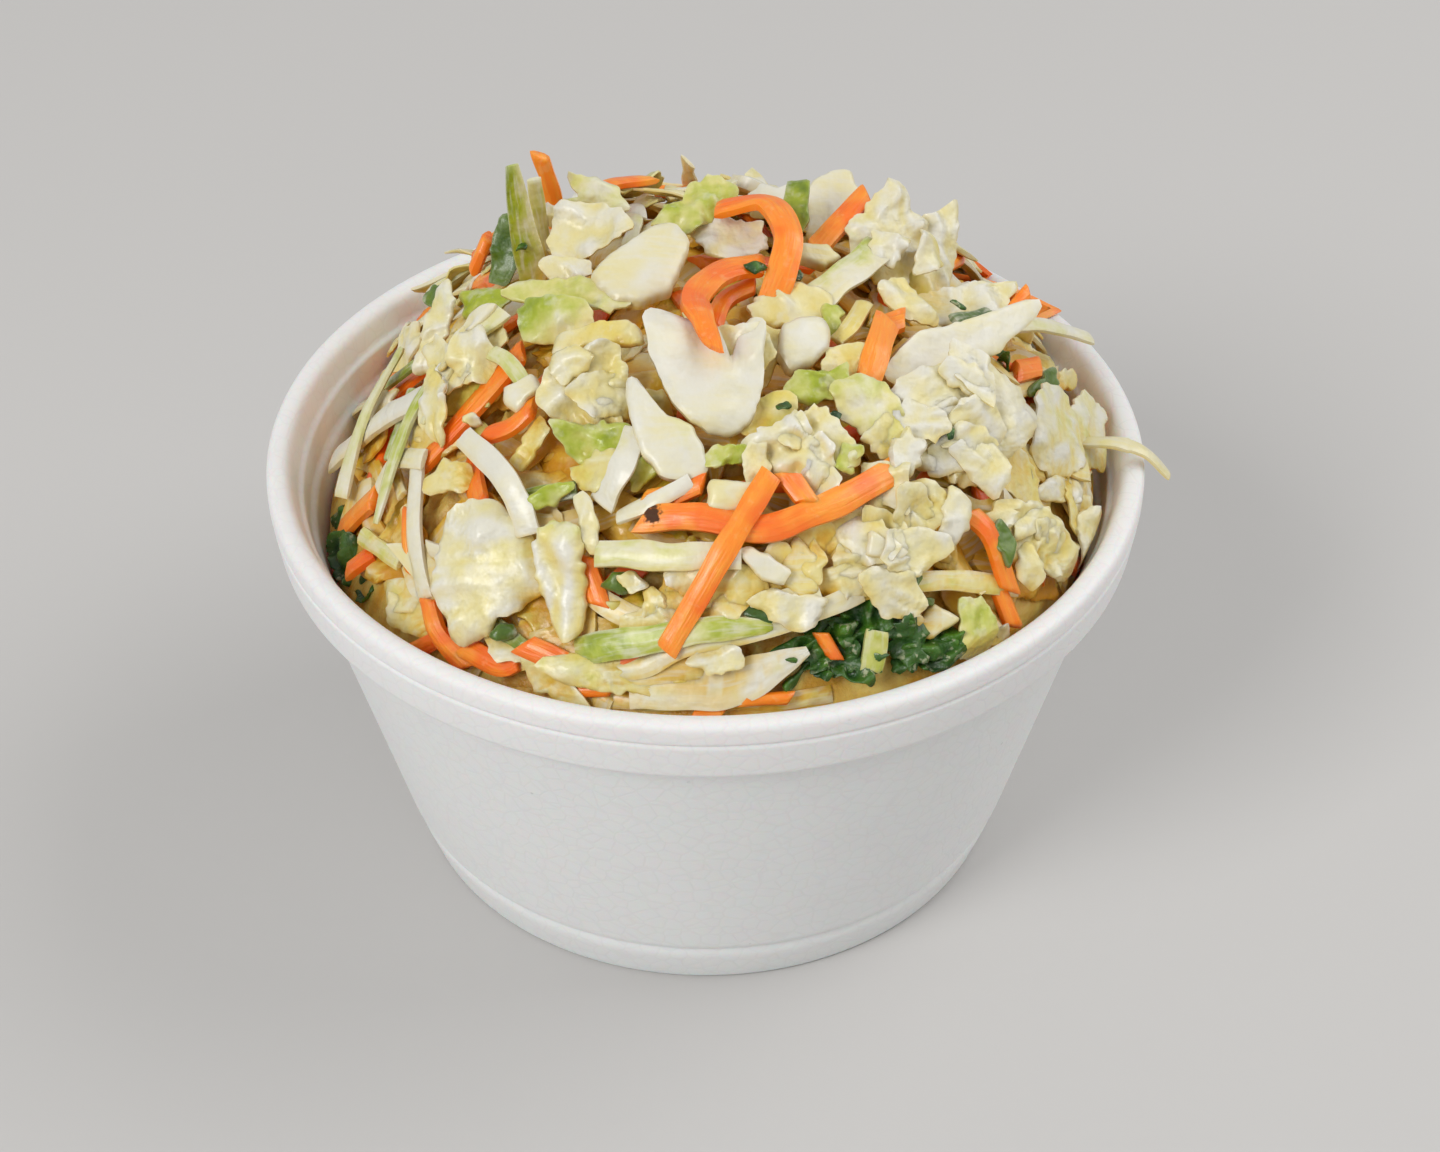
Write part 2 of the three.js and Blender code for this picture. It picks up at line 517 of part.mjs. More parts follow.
// True when every edge belongs to just two faces, also once near corners are welded.
function isClean(solid) {
  const { index, attributes } = mergeVertices(barePositions(toGeometry(solid)), WELD);
  const seen = new Set();
  for (let i = 0; i < index.count; i += 3) {
    const corners = [index.getX(i), index.getX(i + 1), index.getX(i + 2)];
    if (new Set(corners).size === 3) {
      for (let k = 0; k < 3; k += 1) {
        const edge = corners[k] * attributes.position.count + corners[(k + 1) % 3];
        if (seen.has(edge)) return false;
        seen.add(edge);
      }
    }
  }
  return true;
}

// Joins a piece to the heap, a little lower where its faces would only brush the heap's.
function joined(heap, piece) {
  const nudge = 0.11;
  for (let attempt = 0; attempt < 5; attempt += 1) {
    const exact = heap.add(piece.translate([0, 0, -nudge * attempt]));
    const clean = [exact.simplify(SMALLEST_EDGE), exact].find(isClean);
    if (clean) return clean;
  }
  return heap;
}

function slawSolid() {
  const keepOut = keepOutSolid();
  const byHand = handPlaced();
  const taken = byHand.map((geometry) => {
    geometry.computeBoundingSphere();
    return geometry.boundingSphere.center.toArray();
  });
  let heap = coreSolid();
  for (const geometry of [...byHand, ...spreadPieces(taken)]) {
    const clear = drawnIn(toSolid(geometry), keepOut);
    const lying = clear && settled(clear, heap);
    if (lying) heap = joined(heap, lying);
  }
  heap = joined(heap, toSolid(shred(rimStrip.route, rimStrip.wide, SHRED_THICK)));
  // Loose scraps, and the inner shells of hollows that joining sealed, are left out.
  return heap.decompose().sort((a, b) => b.volume() - a.volume())[0];
}

// ---- the part -----------------------------------------------------------------------

const foam = new THREE.MeshStandardMaterial({ color: 0xf2f1ef, roughness: 0.55, metalness: 0 });
const slaw = new THREE.MeshStandardMaterial({ color: 0xe6dba8, roughness: 0.35, metalness: 0 });

const cup = new THREE.Mesh(turned(cupProfile(), CUP_SIDES), foam);
cup.name = 'cup';

const coleslaw = new THREE.Mesh(toGeometry(slawSolid()), slaw);
coleslaw.name = 'coleslaw';

const part = new THREE.Group();
part.add(cup, coleslaw);

export default part;
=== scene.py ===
# A squat white foam cup heaped with coleslaw: chopped cabbage, carrot shreds and curly kale
# in a creamy dressing. It is put together as the real one is: the cup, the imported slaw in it,
# and then each kind of chopped vegetable that shows.

import math
from itertools import chain

import bmesh
import bpy
import numpy as np
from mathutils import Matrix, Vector


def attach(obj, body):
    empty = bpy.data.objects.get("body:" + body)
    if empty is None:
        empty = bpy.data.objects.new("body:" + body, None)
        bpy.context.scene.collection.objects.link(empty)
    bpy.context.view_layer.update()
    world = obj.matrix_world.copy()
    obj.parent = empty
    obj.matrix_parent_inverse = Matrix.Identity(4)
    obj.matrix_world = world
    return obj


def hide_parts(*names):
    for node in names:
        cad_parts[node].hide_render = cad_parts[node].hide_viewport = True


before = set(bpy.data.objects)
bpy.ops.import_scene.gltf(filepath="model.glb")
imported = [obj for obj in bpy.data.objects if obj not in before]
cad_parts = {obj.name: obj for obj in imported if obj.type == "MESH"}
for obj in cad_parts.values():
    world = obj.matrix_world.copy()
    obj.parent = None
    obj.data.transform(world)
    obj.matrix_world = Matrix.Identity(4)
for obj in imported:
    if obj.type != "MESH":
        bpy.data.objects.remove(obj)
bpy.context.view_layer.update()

MM = 0.001


# ---- Foam cup ------------------------------------------------------------------------
# A moulded bead-foam food cup with a rolled band round its mouth and a small stepped foot.
# Its half section is turned about the axis, and it stands for the CAD node of the same shape.

CUP_HEIGHT = 60.7
RIM_RADIUS = 58.5
BAND_FOOT = CUP_HEIGHT - 8.9
GROOVE = CUP_HEIGHT - 3.2
FOOT_RADIUS = 41.6
FOAM_WHITE = (0.82, 0.825, 0.825, 1)
FOAM_SHADE = (0.73, 0.73, 0.725, 1)
FOAM_SPECK = (0.34, 0.33, 0.32, 1)
BEAD = 2.3

# Each corner of the section: radius, height and how far its rounding reaches.
cup_section = [
    (0, 0, 0), (29, 0, 0.4), (30, 1, 0.4), (36, 1, 0.4), (37, 0, 0.4),
    (FOOT_RADIUS - 0.4, 0, 0.7), (FOOT_RADIUS + 1.6, 6.0, 1.2), (FOOT_RADIUS + 1.4, 7.5, 0.5),
    (43.9, 8.3, 0.8), (54.9, 51.0, 0.6), (57.7, BAND_FOOT, 0.9),
    (58.4, GROOVE - 0.4, 0.3), (58.1, GROOVE, 0.2), (RIM_RADIUS, GROOVE + 0.4, 0.3),
    (RIM_RADIUS, CUP_HEIGHT, 1.7), (55.6, CUP_HEIGHT, 1.5), (54.5, CUP_HEIGHT - 3.7, 0.5),
    (53.8, CUP_HEIGHT - 4.2, 0.4), (53.3, CUP_HEIGHT - 7.9, 0.5), (52.4, CUP_HEIGHT - 8.5, 0.5),
    (51.1, 45.6, 0.4), (50.5, 44.6, 0.4), (40.2, 4.8, 2.5), (36, 4, 2), (0, 4, 0),
]


def filleted(corners, steps=5):
    """The outline through the corners, each one rounded by a short curve."""
    outline = []
    for i, (radius, height, fillet) in enumerate(corners):
        here = Vector((radius, height))
        if fillet == 0:
            outline.append(here)
            continue
        before = Vector(corners[i - 1][:2]) - here
        after = Vector(corners[i + 1][:2]) - here
        start = here + before.normalized() * min(fillet, 0.45 * before.length)
        end = here + after.normalized() * min(fillet, 0.45 * after.length)
        for k in range(steps + 1):
            w = k / steps
            outline.append((1 - w) ** 2 * start + 2 * w * (1 - w) * here + w * w * end)
    return outline


def shown(name, mesh, paint, crease=None):
    """Puts a finished mesh in the scene as a piece that rides on the part's one body.

    A piece with a crease angle keeps its cut edges sharp."""
    piece = bpy.data.objects.new(name, mesh)
    bpy.context.scene.collection.objects.link(piece)
    mesh.materials.clear()
    mesh.materials.append(paint.material)
    mesh.shade_smooth()
    if crease:
        mesh.set_sharp_from_angle(angle=math.radians(crease))
    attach(piece, "root")
    return piece


class Wire:
    """One output of a shader node. Sums of wires and numbers add their Math nodes."""

    def __init__(self, paint, socket):
        self.paint = paint
        self.socket = socket

    def maths(self, operation, first, second=0.0, clamped=False):
        settings = {"operation": operation, "use_clamp": clamped}
        return self.paint.node("ShaderNodeMath", settings, {0: first, 1: second})

    def __add__(self, other):
        return self.maths("ADD", self, other)

    def __sub__(self, other):
        return self.maths("SUBTRACT", self, other)

    def __rsub__(self, other):
        return self.maths("SUBTRACT", other, self)

    def __mul__(self, other):
        return self.maths("MULTIPLY", self, other)

    __radd__ = __add__
    __rmul__ = __mul__

    def clamped(self):
        return self.maths("ADD", self, 0.0, clamped=True)

    def over(self, threshold, softness):
        """0 below the threshold and 1 above it, with a soft step between."""
        settings = {"interpolation_type": "SMOOTHSTEP"}
        ends = {"From Min": threshold - softness, "From Max": threshold + softness}
        return self.paint.node("ShaderNodeMapRange", settings, {"Value": self, **ends})


class Paint:
    """A material that is built up node by node round one Principled shader."""

    def __init__(self, name, **constants):
        self.material = bpy.data.materials.new(name)
        self.material.use_nodes = True
        self.tree = self.material.node_tree
        self.shader = self.tree.nodes["Principled BSDF"]
        for socket, value in constants.items():
            self.shader.inputs[socket.replace("_", " ")].default_value = value
        self.place = self.node("ShaderNodeTexCoord", out="Object")

    def node(self, kind, settings=None, sockets=None, out=0):
        made = self.tree.nodes.new(kind)
        for name, value in (settings or {}).items():
            if name == "stops":
                for _ in value[2:]:
                    made.color_ramp.elements.new(1)
                for element, (position, colour) in zip(made.color_ramp.elements, value):
                    element.position = position
                    element.color = colour
            else:
                setattr(made, name, value)
        for name, value in (sockets or {}).items():
            if isinstance(value, Wire):
                self.tree.links.new(value.socket, made.inputs[name])
            else:
                made.inputs[name].default_value = value
        return Wire(self, made.outputs[out])

    def look(self, name, out="Fac"):
        """What the mesh says of itself at each point."""
        return self.node("ShaderNodeAttribute", {"attribute_name": name}, out=out)

    def blotches(self, size, detail=2.0, place=None):
        """Soft random patches from 0 to 1, about that many millimetres across."""
        sockets = {"Vector": place or self.place, "Scale": 1 / (size * MM), "Detail": detail}
        return self.node("ShaderNodeTexNoise", {}, sockets)

    def cells(self, size, feature, place=None):
        """Distances in a pattern of cells about that many millimetres across."""
        sockets = {"Vector": place or self.place, "Scale": 1 / (size * MM)}
        return self.node("ShaderNodeTexVoronoi", {"feature": feature}, sockets)

    def mixed(self, share, first, second, blend="MIX"):
        """The first colour where share is 0, and the second, or its product, where it is 1."""
        settings = {"data_type": "RGBA", "blend_type": blend}
        return self.node("ShaderNodeMix", settings, {0: share, 6: first, 7: second}, out=2)

    def ramp(self, share, stops):
        """A colour that runs through the stops, each a place from 0 to 1 and a colour."""
        return self.node("ShaderNodeValToRGB", {"stops": stops}, {"Fac": share})

    def feed(self, socket, wire):
        self.tree.links.new(wire.socket, self.shader.inputs[socket])

    def relief(self, height, depth, strength=1.0, under=None):
        """Bumps of that many millimetres, over an earlier relief where one is given."""
        sockets = {"Height": height, "Distance": depth * MM, "Strength": strength}
        if under:
            sockets["Normal"] = under
        return self.node("ShaderNodeBump", {}, sockets)


def cup_mesh():
    turned = bmesh.new()
    corners = [turned.verts.new((p.x * MM, 0, p.y * MM)) for p in filleted(cup_section)]
    edges = [turned.edges.new(pair) for pair in zip(corners, corners[1:])]
    bmesh.ops.spin(turned, geom=corners + edges, cent=(0, 0, 0), axis=(0, 0, 1),
                   angle=2 * math.pi, steps=160, use_merge=True)
    bmesh.ops.remove_doubles(turned, verts=turned.verts[:], dist=1e-6)
    bmesh.ops.recalc_face_normals(turned, faces=turned.faces[:])
    mesh = bpy.data.meshes.new("foam_cup")
    turned.to_mesh(mesh)
    turned.free()
    return mesh


def foam_paint():
    """White bead foam: pressed beads that just show, a satin skin and a few grey specks."""
    foam = Paint("foam", Subsurface_Weight=0.3, Subsurface_Scale=0.004)
    beads = foam.cells(BEAD, "DISTANCE_TO_EDGE").over(0.05, 0.05)
    mottle = foam.blotches(9, detail=3)
    colour = foam.mixed(0.35 * mottle + 0.25 * (1 - beads), FOAM_WHITE, FOAM_SHADE)
    speck = foam.cells(5.2, "F1").over(0.05, 0.015)
    rare = foam.blotches(13, detail=1).over(0.63, 0.02)
    foam.feed("Base Color", foam.mixed(0.35 * rare * (1 - speck), colour, FOAM_SPECK))
    foam.feed("Roughness", 0.42 + 0.2 * mottle)
    dimples = foam.relief(beads, 0.05, 0.35)
    foam.feed("Normal", foam.relief(foam.blotches(1.1), 0.05, 0.35, under=dimples))
    return foam


foam_cup = shown("foam_cup", cup_mesh(), foam_paint())
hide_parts("cup")


# ---- Packed slaw ---------------------------------------------------------------------
# The mass of chopped cabbage and dressing under the pieces that show: it fills the cup from
# its floor and stands over the rim as a full dome, lower at the hollow on the left.

HEAP_TOP = 80.0
HEAP_RADIUS = 52.0
HEAP_FULLNESS = 2.8
EDGE_DROP = 4.5
HOLLOW_DROP = 8.5
HOLLOW_HEADING = math.radians(188)
FLOOR_TOP = 4.35
SLOPE_ENDS = 1.08      # share of the heap's radius where its slope ends, just past its edge
BED_GAP = 0.3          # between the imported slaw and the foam
BED_LUMP = 1.6
LINING_FOOT = 6.6      # the foam's inside wall runs straight up from this height,
LINING_RADIUS = 40.7   # with this radius there,
LINING_FLARE = 0.256   # and widens by this much for each millimetre of height
BED_YELLOW = (0.76, 0.57, 0.15, 1)
BED_GOLD = (0.64, 0.33, 0.03, 1)


def lining_radius(height):
    """Inside radius of the foam at a height."""
    return LINING_RADIUS + LINING_FLARE * (height - LINING_FOOT)


def bed_height(x, y):
    """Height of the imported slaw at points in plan."""
    share = np.minimum(np.hypot(x, y) / HEAP_RADIUS, SLOPE_ENDS)
    towards_hollow = np.maximum(0, np.cos(np.arctan2(y, x) - HOLLOW_HEADING))
    edge = CUP_HEIGHT - EDGE_DROP - HOLLOW_DROP * towards_hollow ** 2
    dome = (HEAP_TOP - edge) * (1 - share ** HEAP_FULLNESS)
    lumps = 0.9 * np.sin(x / 6.5 + 0.6) * np.cos(y / 7.5 - 1.2) + 0.6 * np.sin((x - y) / 4.2)
    return edge + dome + lumps * (1 - share ** 2)


def ripples(x, y, size, seed):
    """Smooth random hills and hollows from about -1 to 1, that many millimetres across."""
    draw = np.random.default_rng(seed)
    total = np.zeros_like(x)
    for _ in range(6):
        heading = draw.uniform(0, 2 * math.pi)
        pace = math.pi / size * draw.uniform(0.7, 1.5)
        total += np.sin(pace * (x * math.cos(heading) + y * math.sin(heading))
                        + draw.uniform(0, 2 * math.pi))
    return total / 3.2


def folds(x, y, size, seed):
    """Raised veins with broad hollows between them, from 0 to 1, as in a crumpled leaf."""
    stray = 0.3 * size
    warped_x = x + stray * ripples(x, y, 1.4 * size, seed + 11)
    warped_y = y + stray * ripples(x, y, 1.4 * size, seed + 12)
    return np.exp(-(ripples(warped_x, warped_y, size, seed) / 0.38) ** 2)


def bed_mesh():
    """An evenly divided ball whose upper half is the heap and whose lower half is the rest."""
    ball = bmesh.new()
    bmesh.ops.create_icosphere(ball, subdivisions=7, radius=1)
    mesh = bpy.data.meshes.new("slaw_bed")
    ball.to_mesh(mesh)
    ball.free()
    corners = np.array([vertex.co for vertex in mesh.vertices])
    azimuth = np.arctan2(corners[:, 1], corners[:, 0])
    latitude = np.arcsin(np.clip(corners[:, 2], -1, 1)) / (math.pi / 2)
    edge = bed_height(HEAP_RADIUS * np.cos(azimuth), HEAP_RADIUS * np.sin(azimuth))
    down = np.minimum(1, -2 * latitude)
    level = np.where(latitude > 0, edge, edge + (FLOOR_TOP - edge) * down)
    share = np.where(latitude > 0, 1 - latitude, np.minimum(1, 2 + 2 * latitude))
    radius = share * np.minimum(HEAP_RADIUS, lining_radius(level) - BED_GAP)
    x = radius * np.cos(azimuth)
    y = radius * np.sin(azimuth)
    rough = folds(x, y, 3.6, 5) + 0.4 * folds(x, y, 1.8, 6)
    top = bed_height(x, y) + BED_LUMP * (rough - 0.9) * (1 - share ** 8)
    z = np.where(latitude > 0, top, level)
    mesh.vertices.foreach_set("co", (np.stack([x, y, z], 1) * MM).ravel())
    ridge = mesh.attributes.new("ridge", "FLOAT", "POINT")
    ridge.data.foreach_set("value", np.clip(rough / 1.4, 0, 1))
    return mesh


def bed_paint():
    """Wet cream and chopped cabbage seen far down between the pieces, with painted shade darker and
    golden in its hollows.
    """
    cream = Paint("packed_slaw", Roughness=0.4, Subsurface_Weight=0.4, Subsurface_Scale=0.003,
                  Subsurface_Radius=(1.0, 0.6, 0.25))
    # Painted shade: the low hollows of the bed's relief take the darker gold, as do random patches.
    share = (1.2 * cream.look("ridge") + 0.9 * cream.blotches(4) - 0.6).clamped()
    cream.feed("Base Color", cream.mixed(share, BED_GOLD, BED_YELLOW))
    cream.feed("Normal", cream.relief(cream.blotches(0.9, detail=3), 0.3))
    return cream


slaw_bed = shown("slaw_bed", bed_mesh(), bed_paint())
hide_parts("coleslaw")


# ---- Crumpled cabbage chips ----------------------------------------------------------
# Chopped pieces of the inner leaves, white to yellow, crumpled and coated with dressing.
# Each is a flat slab that is drawn out to its cut outline, folded and laid on the heap.

class Slab:
    """A flat closed block of small squares. Each piece is one of these, bent to shape."""

    def __init__(self, long_steps, wide_steps):
        block = bmesh.new()
        bmesh.ops.create_grid(block, x_segments=long_steps, y_segments=wide_steps, size=1)
        bmesh.ops.solidify(block, geom=block.faces[:], thickness=1)
        bmesh.ops.recalc_face_normals(block, faces=block.faces[:])
        self.mesh = bpy.data.meshes.new("slab")
        block.to_mesh(self.mesh)
        block.free()
        corners = np.array([vertex.co for vertex in self.mesh.vertices])
        self.s = corners[:, 0]
        self.t = corners[:, 1]
        self.side = np.where(corners[:, 2] > corners[:, 2].mean(), 1, -1)
        # Rings of squares turn into rings of an outline, at these directions from its middle.
        self.rim = np.maximum(np.abs(self.s), np.abs(self.t))
        near_t = np.abs(self.t) > np.abs(self.s)
        more = np.where(near_t, self.t, self.s)
        less = np.where(near_t, self.s, self.t)
        slant = less / np.where(self.rim > 0, more, 1) * math.pi / 4
        self.bearing = np.where(near_t, math.pi / 2 - slant, slant) + math.pi * (more < 0)


fine_slab = Slab(25, 25)
middle_slab = Slab(13, 13)
small_slab = Slab(6, 6)
long_slab = Slab(36, 4)
short_slab = Slab(16, 4)


def unit(vectors):
    return vectors / np.linalg.norm(vectors, axis=-1, keepdims=True)


def bed_normal(x, y):
    """Directions straight out of the heap at points in plan."""
    step = 1.5
    along_x = (bed_height(x + step, y) - bed_height(x - step, y)) / (2 * step)
    along_y = (bed_height(x, y + step) - bed_height(x, y - step)) / (2 * step)
    return unit(np.stack([-along_x, -along_y, np.ones_like(along_x)], -1))


PIECE_GAP = 0.25                  # between a piece and the foam beside it
OVER_RIM = CUP_HEIGHT + 0.4       # a point that is higher passes over the foam
LINING_TOP = 58                   # the mouth is taken to be no wider above this height
HANGS_OUT = RIM_RADIUS + 2        # a piece that reaches further hangs out over the rim
PAINT_LAYERS = 60                 # each piece's paint is cut from its own layer of this depth


class Tray:
    """The pieces of one kind, gathered into one mesh with what their paint needs to know."""

    def __init__(self, name, seed):
        self.name = name
        self.draw = np.random.default_rng(seed)
        self.slabs = []
        self.points = []
        self.looks = {"ridge": [], "rim": [], "green": [], "tone": [], "pick": []}
        self.grain = []

    def add(self, slab, points, grain, **looks):
        """A bent slab. Below the rim it is pressed in where it would pass into the foam or,
        unless it hangs well out over the rim, come out behind it."""
        radius = np.hypot(points[:, 0], points[:, 1])
        room = lining_radius(np.minimum(points[:, 2], LINING_TOP)) - PIECE_GAP
        foam_ends = RIM_RADIUS if radius.max() > HANGS_OUT else HANGS_OUT
        in_foam = (points[:, 2] < OVER_RIM) & (radius > room) & (radius < foam_ends)
        pressed = np.where(in_foam, room / np.maximum(radius, 1), 1)
        points = points * np.stack([pressed, pressed, np.ones_like(pressed)], 1)
        looks["pick"] = self.draw.uniform()
        looks["rim"] = slab.rim
        self.slabs.append(slab)
        self.points.append(points * MM)
        layer = np.full_like(slab.s, PAINT_LAYERS * looks["pick"])
        self.grain.append(np.stack([*grain, layer], 1) * MM)
        for look, values in looks.items():
            self.looks[look].append(np.broadcast_to(values, slab.s.shape))

    def between(self, least, most):
        return self.draw.uniform(least, most)

    def mesh(self):
        joined = bmesh.new()
        for slab in self.slabs:
            joined.from_mesh(slab.mesh)
        mesh = bpy.data.meshes.new(self.name)
        joined.to_mesh(mesh)
        joined.free()
        mesh.vertices.foreach_set("co", np.concatenate(self.points).ravel())
        for look, values in self.looks.items():
            attribute = mesh.attributes.new(look, "FLOAT", "POINT")
            attribute.data.foreach_set("value", np.concatenate(values).astype(np.float32))
        grain = mesh.attributes.new("grain", "FLOAT_VECTOR", "POINT")
        grain.data.foreach_set("vector", np.concatenate(self.grain).ravel())
        mesh.update()
        return mesh


def chopped(draw, long, wide, turn):
    """The outline of a roughly chopped piece of that size: four to six uneven corners."""
    count = int(draw.integers(4, 7))
    start = draw.uniform(0, 2 * math.pi)
    bearing = start + (np.arange(count) + draw.uniform(-0.28, 0.28, count)) * 2 * math.pi / count
    reach = draw.uniform(0.85, 1.25, count)
    x = 0.5 * long * reach * np.cos(bearing)
    y = 0.5 * wide * reach * np.sin(bearing)
    heading = math.radians(turn)
    return np.stack([x * math.cos(heading) - y * math.sin(heading),
                     x * math.sin(heading) + y * math.cos(heading)], 1)


SECTORS = 90       # directions in which an outline is measured
SIDE_STEPS = 40    # points on each of its sides


def reach_to(outline, bearing):
    """How far an outline lies from its middle in each direction, its corners a little worn."""
    corners = np.array(outline, float)
    steps = np.linspace(0, 1, SIDE_STEPS, endpoint=False)[:, None]
    edge = np.concatenate([here + (after - here) * steps
                           for here, after in zip(corners, np.roll(corners, -1, 0))])
    turns = np.arctan2(edge[:, 1], edge[:, 0]) / (2 * math.pi)
    reach = np.zeros(SECTORS)
    np.maximum.at(reach, np.floor(turns * SECTORS).astype(int) % SECTORS, np.hypot(*edge.T))
    reach = np.where(reach > 0, reach, np.maximum(np.roll(reach, 1), np.roll(reach, -1)))
    reach = (np.roll(reach, 1) + 2 * reach + np.roll(reach, -1)) / 4
    middles = (np.arange(SECTORS) + 0.5) * 2 * math.pi / SECTORS
    return np.interp(bearing, middles, reach, period=2 * math.pi)


def rightward(up):
    """The way to the right, as a piece that faces up is seen from its front."""
    return unit(np.array([1, 0, 0]) - up * up[0])


PLEAT = 2.4    # from one pleat to the next, and from one flute to the next
FLUTE = 2.3


def leaf(tray, at, facing=None, outline=None, long=8, wide=5, turn=0, slab=None, thick=0.9,
         edge=0.4, ragged=0.4, wave=0.6, crinkle=0.8, fold=3.6, ruffle=0, towards=None,
         dish=(0, 0), pleats=0, dents=(), tone=0.3, green=0.0, greener=(0, 0)):
    """A chopped piece of leaf or rib at a place in millimetres.

    It faces out of the heap or where facing says. Its outline is measured from that place, to
    the right and upwards as it is seen from the front, and where none is given it is chopped
    long by wide, at a turn in degrees. It is thick in its middle, and edge is the share of that
    at its rim. wave, crinkle and pleats are the heights of its folds, fold is how broad the
    crinkles are, and ruffle the height of the flutes that fan out to its far edge, the way
    towards says in degrees. dish is how far it rises 10 mm from its middle, each way, and ragged
    how far its torn edge strays. A dent has a place, a reach and a depth. tone goes from white
    at 0 to gold at 1, green from none at 0 to dark at 1, and greener is how much green rises
    from side to side, each way."""
    seed = int(tray.draw.integers(1 << 30))
    if outline is None:
        outline = chopped(tray.draw, long, wide, turn)
    size = np.ptp(np.array(outline), axis=0).max()
    slab = slab or (fine_slab if size > 10 else middle_slab)
    reach = reach_to(outline, slab.bearing)
    rim_x = reach * np.cos(slab.bearing)
    rim_y = reach * np.sin(slab.bearing)
    points = 0.5 - np.abs(ripples(rim_x, rim_y, 2.2, seed + 1))
    stray = 0.8 * ripples(rim_x, rim_y, 4, seed) + points + 0.5 * ripples(rim_x, rim_y, 1, seed + 7)
    reach = reach * slab.rim + ragged * stray * slab.rim ** 3
    x = reach * np.cos(slab.bearing)
    y = reach * np.sin(slab.bearing)
    hills = 0.5 + 0.5 * ripples(x, y, 0.8 * fold, seed + 5)
    ridge = hills * (0.5 + 0.6 * folds(x, y, 1.3 * fold, seed + 2))
    z = wave * ripples(x, y, 0.8 * size, seed + 3) + 1.3 * crinkle * (ridge - 0.4)
    z += dish[0] * (x / 10) ** 2 + dish[1] * (y / 10) ** 2
    if pleats:
        across = x / (1 + 0.05 * (y - np.min(y))) + 0.5 * ripples(x, y, 5, seed + 4)
        ridge = 0.5 + 0.5 * np.sin(2 * math.pi * across / PLEAT)
        z += pleats * ridge
    if ruffle:
        heading = math.radians(tray.draw.uniform(0, 360) if towards is None else towards)
        ahead = 0.7 * size + x * math.cos(heading) + y * math.sin(heading)
        aside = y * math.cos(heading) - x * math.sin(heading)
        fan = size * np.arctan2(aside, ahead) + 0.9 * ripples(x, y, 4, seed + 6)
        growth = np.clip(ahead / size - 0.4, 0, 1)
        flutes = np.sin(2 * math.pi * fan / FLUTE) * (0.7 + 0.5 * ripples(x, y, 3, seed + 8))
        ridge = ridge + (0.5 + 0.5 * flutes - ridge) * growth
        z += ruffle * growth * flutes
    for dent_x, dent_y, dent_reach, depth in dents:
        hollow = np.exp(-((x - dent_x) ** 2 + (y - dent_y) ** 2) / dent_reach ** 2)
        z -= depth * hollow
        ridge = ridge * (1 - hollow)
    swell = edge + (1 - edge) * np.sqrt(1 - slab.rim ** 6)
    z += 0.5 * thick * slab.side * swell

    at = np.array(at, float)
    up = unit(np.array(facing, float)) if facing is not None else bed_normal(at[0], at[1])
    right = rightward(up)
    points = at + np.stack([x, y, z], 1) @ np.stack([right, np.cross(up, right), up])
    tray.add(slab, points, (x, y), ridge=ridge, tone=tone,
             green=green + (greener[0] * x + greener[1] * y) / size)


GOLDEN_TURN = math.pi * (3 - math.sqrt(5))


def frill(tray, count, reach, at, facing, size=9, **more):
    """Thin ruffled leaves that lie over a larger piece and fall away from its middle."""
    draw = tray.draw
    up = unit(np.array(facing, float))
    right = rightward(up)
    for i in range(count):
        heading = (i + draw.uniform(-0.3, 0.3)) * GOLDEN_TURN
        away = reach * math.sqrt((i + 0.5) / count)
        flat = right * math.cos(heading) + np.cross(up, right) * math.sin(heading)
        place = np.array(at, float) + away * flat + draw.uniform(0.2, 1) * up
        turn = draw.uniform(0, 360)
        look = {"thick": 0.8, "ragged": 0.35, "wave": 0.8, "ruffle": 0.5, **more}
        leaf(tray, place, up + 0.28 * flat + draw.normal(0, 0.12, 3), slab=middle_slab,
             long=size * draw.uniform(0.8, 1.2), wide=size * draw.uniform(0.5, 0.8),
             turn=turn, towards=turn, **look)


LOOSE_PLACES = 440
LOOSE_SHARES = 10    # in every ten of them: 3 chips, 3 shreds, 1 rib, 2 leaves, 1 carrot
LOOSE_REACH = HEAP_RADIUS - 1.5


def heap_places(*shares):
    """A kind's shares of the places on an even spiral over the whole heap."""
    for share in shares:
        for i in range(share, LOOSE_PLACES, LOOSE_SHARES):
            radius = LOOSE_REACH * math.sqrt((i + 0.5) / LOOSE_PLACES)
            yield radius * math.cos(i * GOLDEN_TURN), radius * math.sin(i * GOLDEN_TURN)


# The steep foot of the heap takes more of them, but for its front, where it faces -Y.
FOOT_PLACES = 84
FOOT_SHARES = 6      # in every six of them: 2 chips, 2 shreds, 1 leaf, 1 carrot
FOOT_INSIDE = 37
FOOT_START = math.radians(-16)
FOOT_TURN = math.radians(192)


def foot_places(*shares):
    """A kind's shares of the places on the foot of the heap, evenly scattered."""
    for share in shares:
        for i in range(share, FOOT_PLACES, FOOT_SHARES):
            heading = FOOT_START + FOOT_TURN * (i + 0.5) / FOOT_PLACES
            radius = FOOT_INSIDE + (HEAP_RADIUS - 2 - FOOT_INSIDE) * ((0.618 * i) % 1)
            yield radius * math.cos(heading), radius * math.sin(heading)


# Places in plan and how far round them no loose piece is strewn: the kale and the long strips
# along the front of the rim lie there.
CLEAR_PLACES = [(20, -45, 10), (0, -51, 10)]


BACK_STARTS = 13     # the back of the heap starts at this Y in the middle of it,
BACK_BEND = 0.2      # further back by this much for each millimetre to the side,
BACK_BLEND = 8       # and counts in full this much further on


def far_side(x, y):
    """0 where most pieces are laid one by one, 1 at the back, where most of them are loose."""
    return float(np.clip((y - BACK_STARTS - BACK_BEND * abs(x)) / BACK_BLEND, 0, 1))


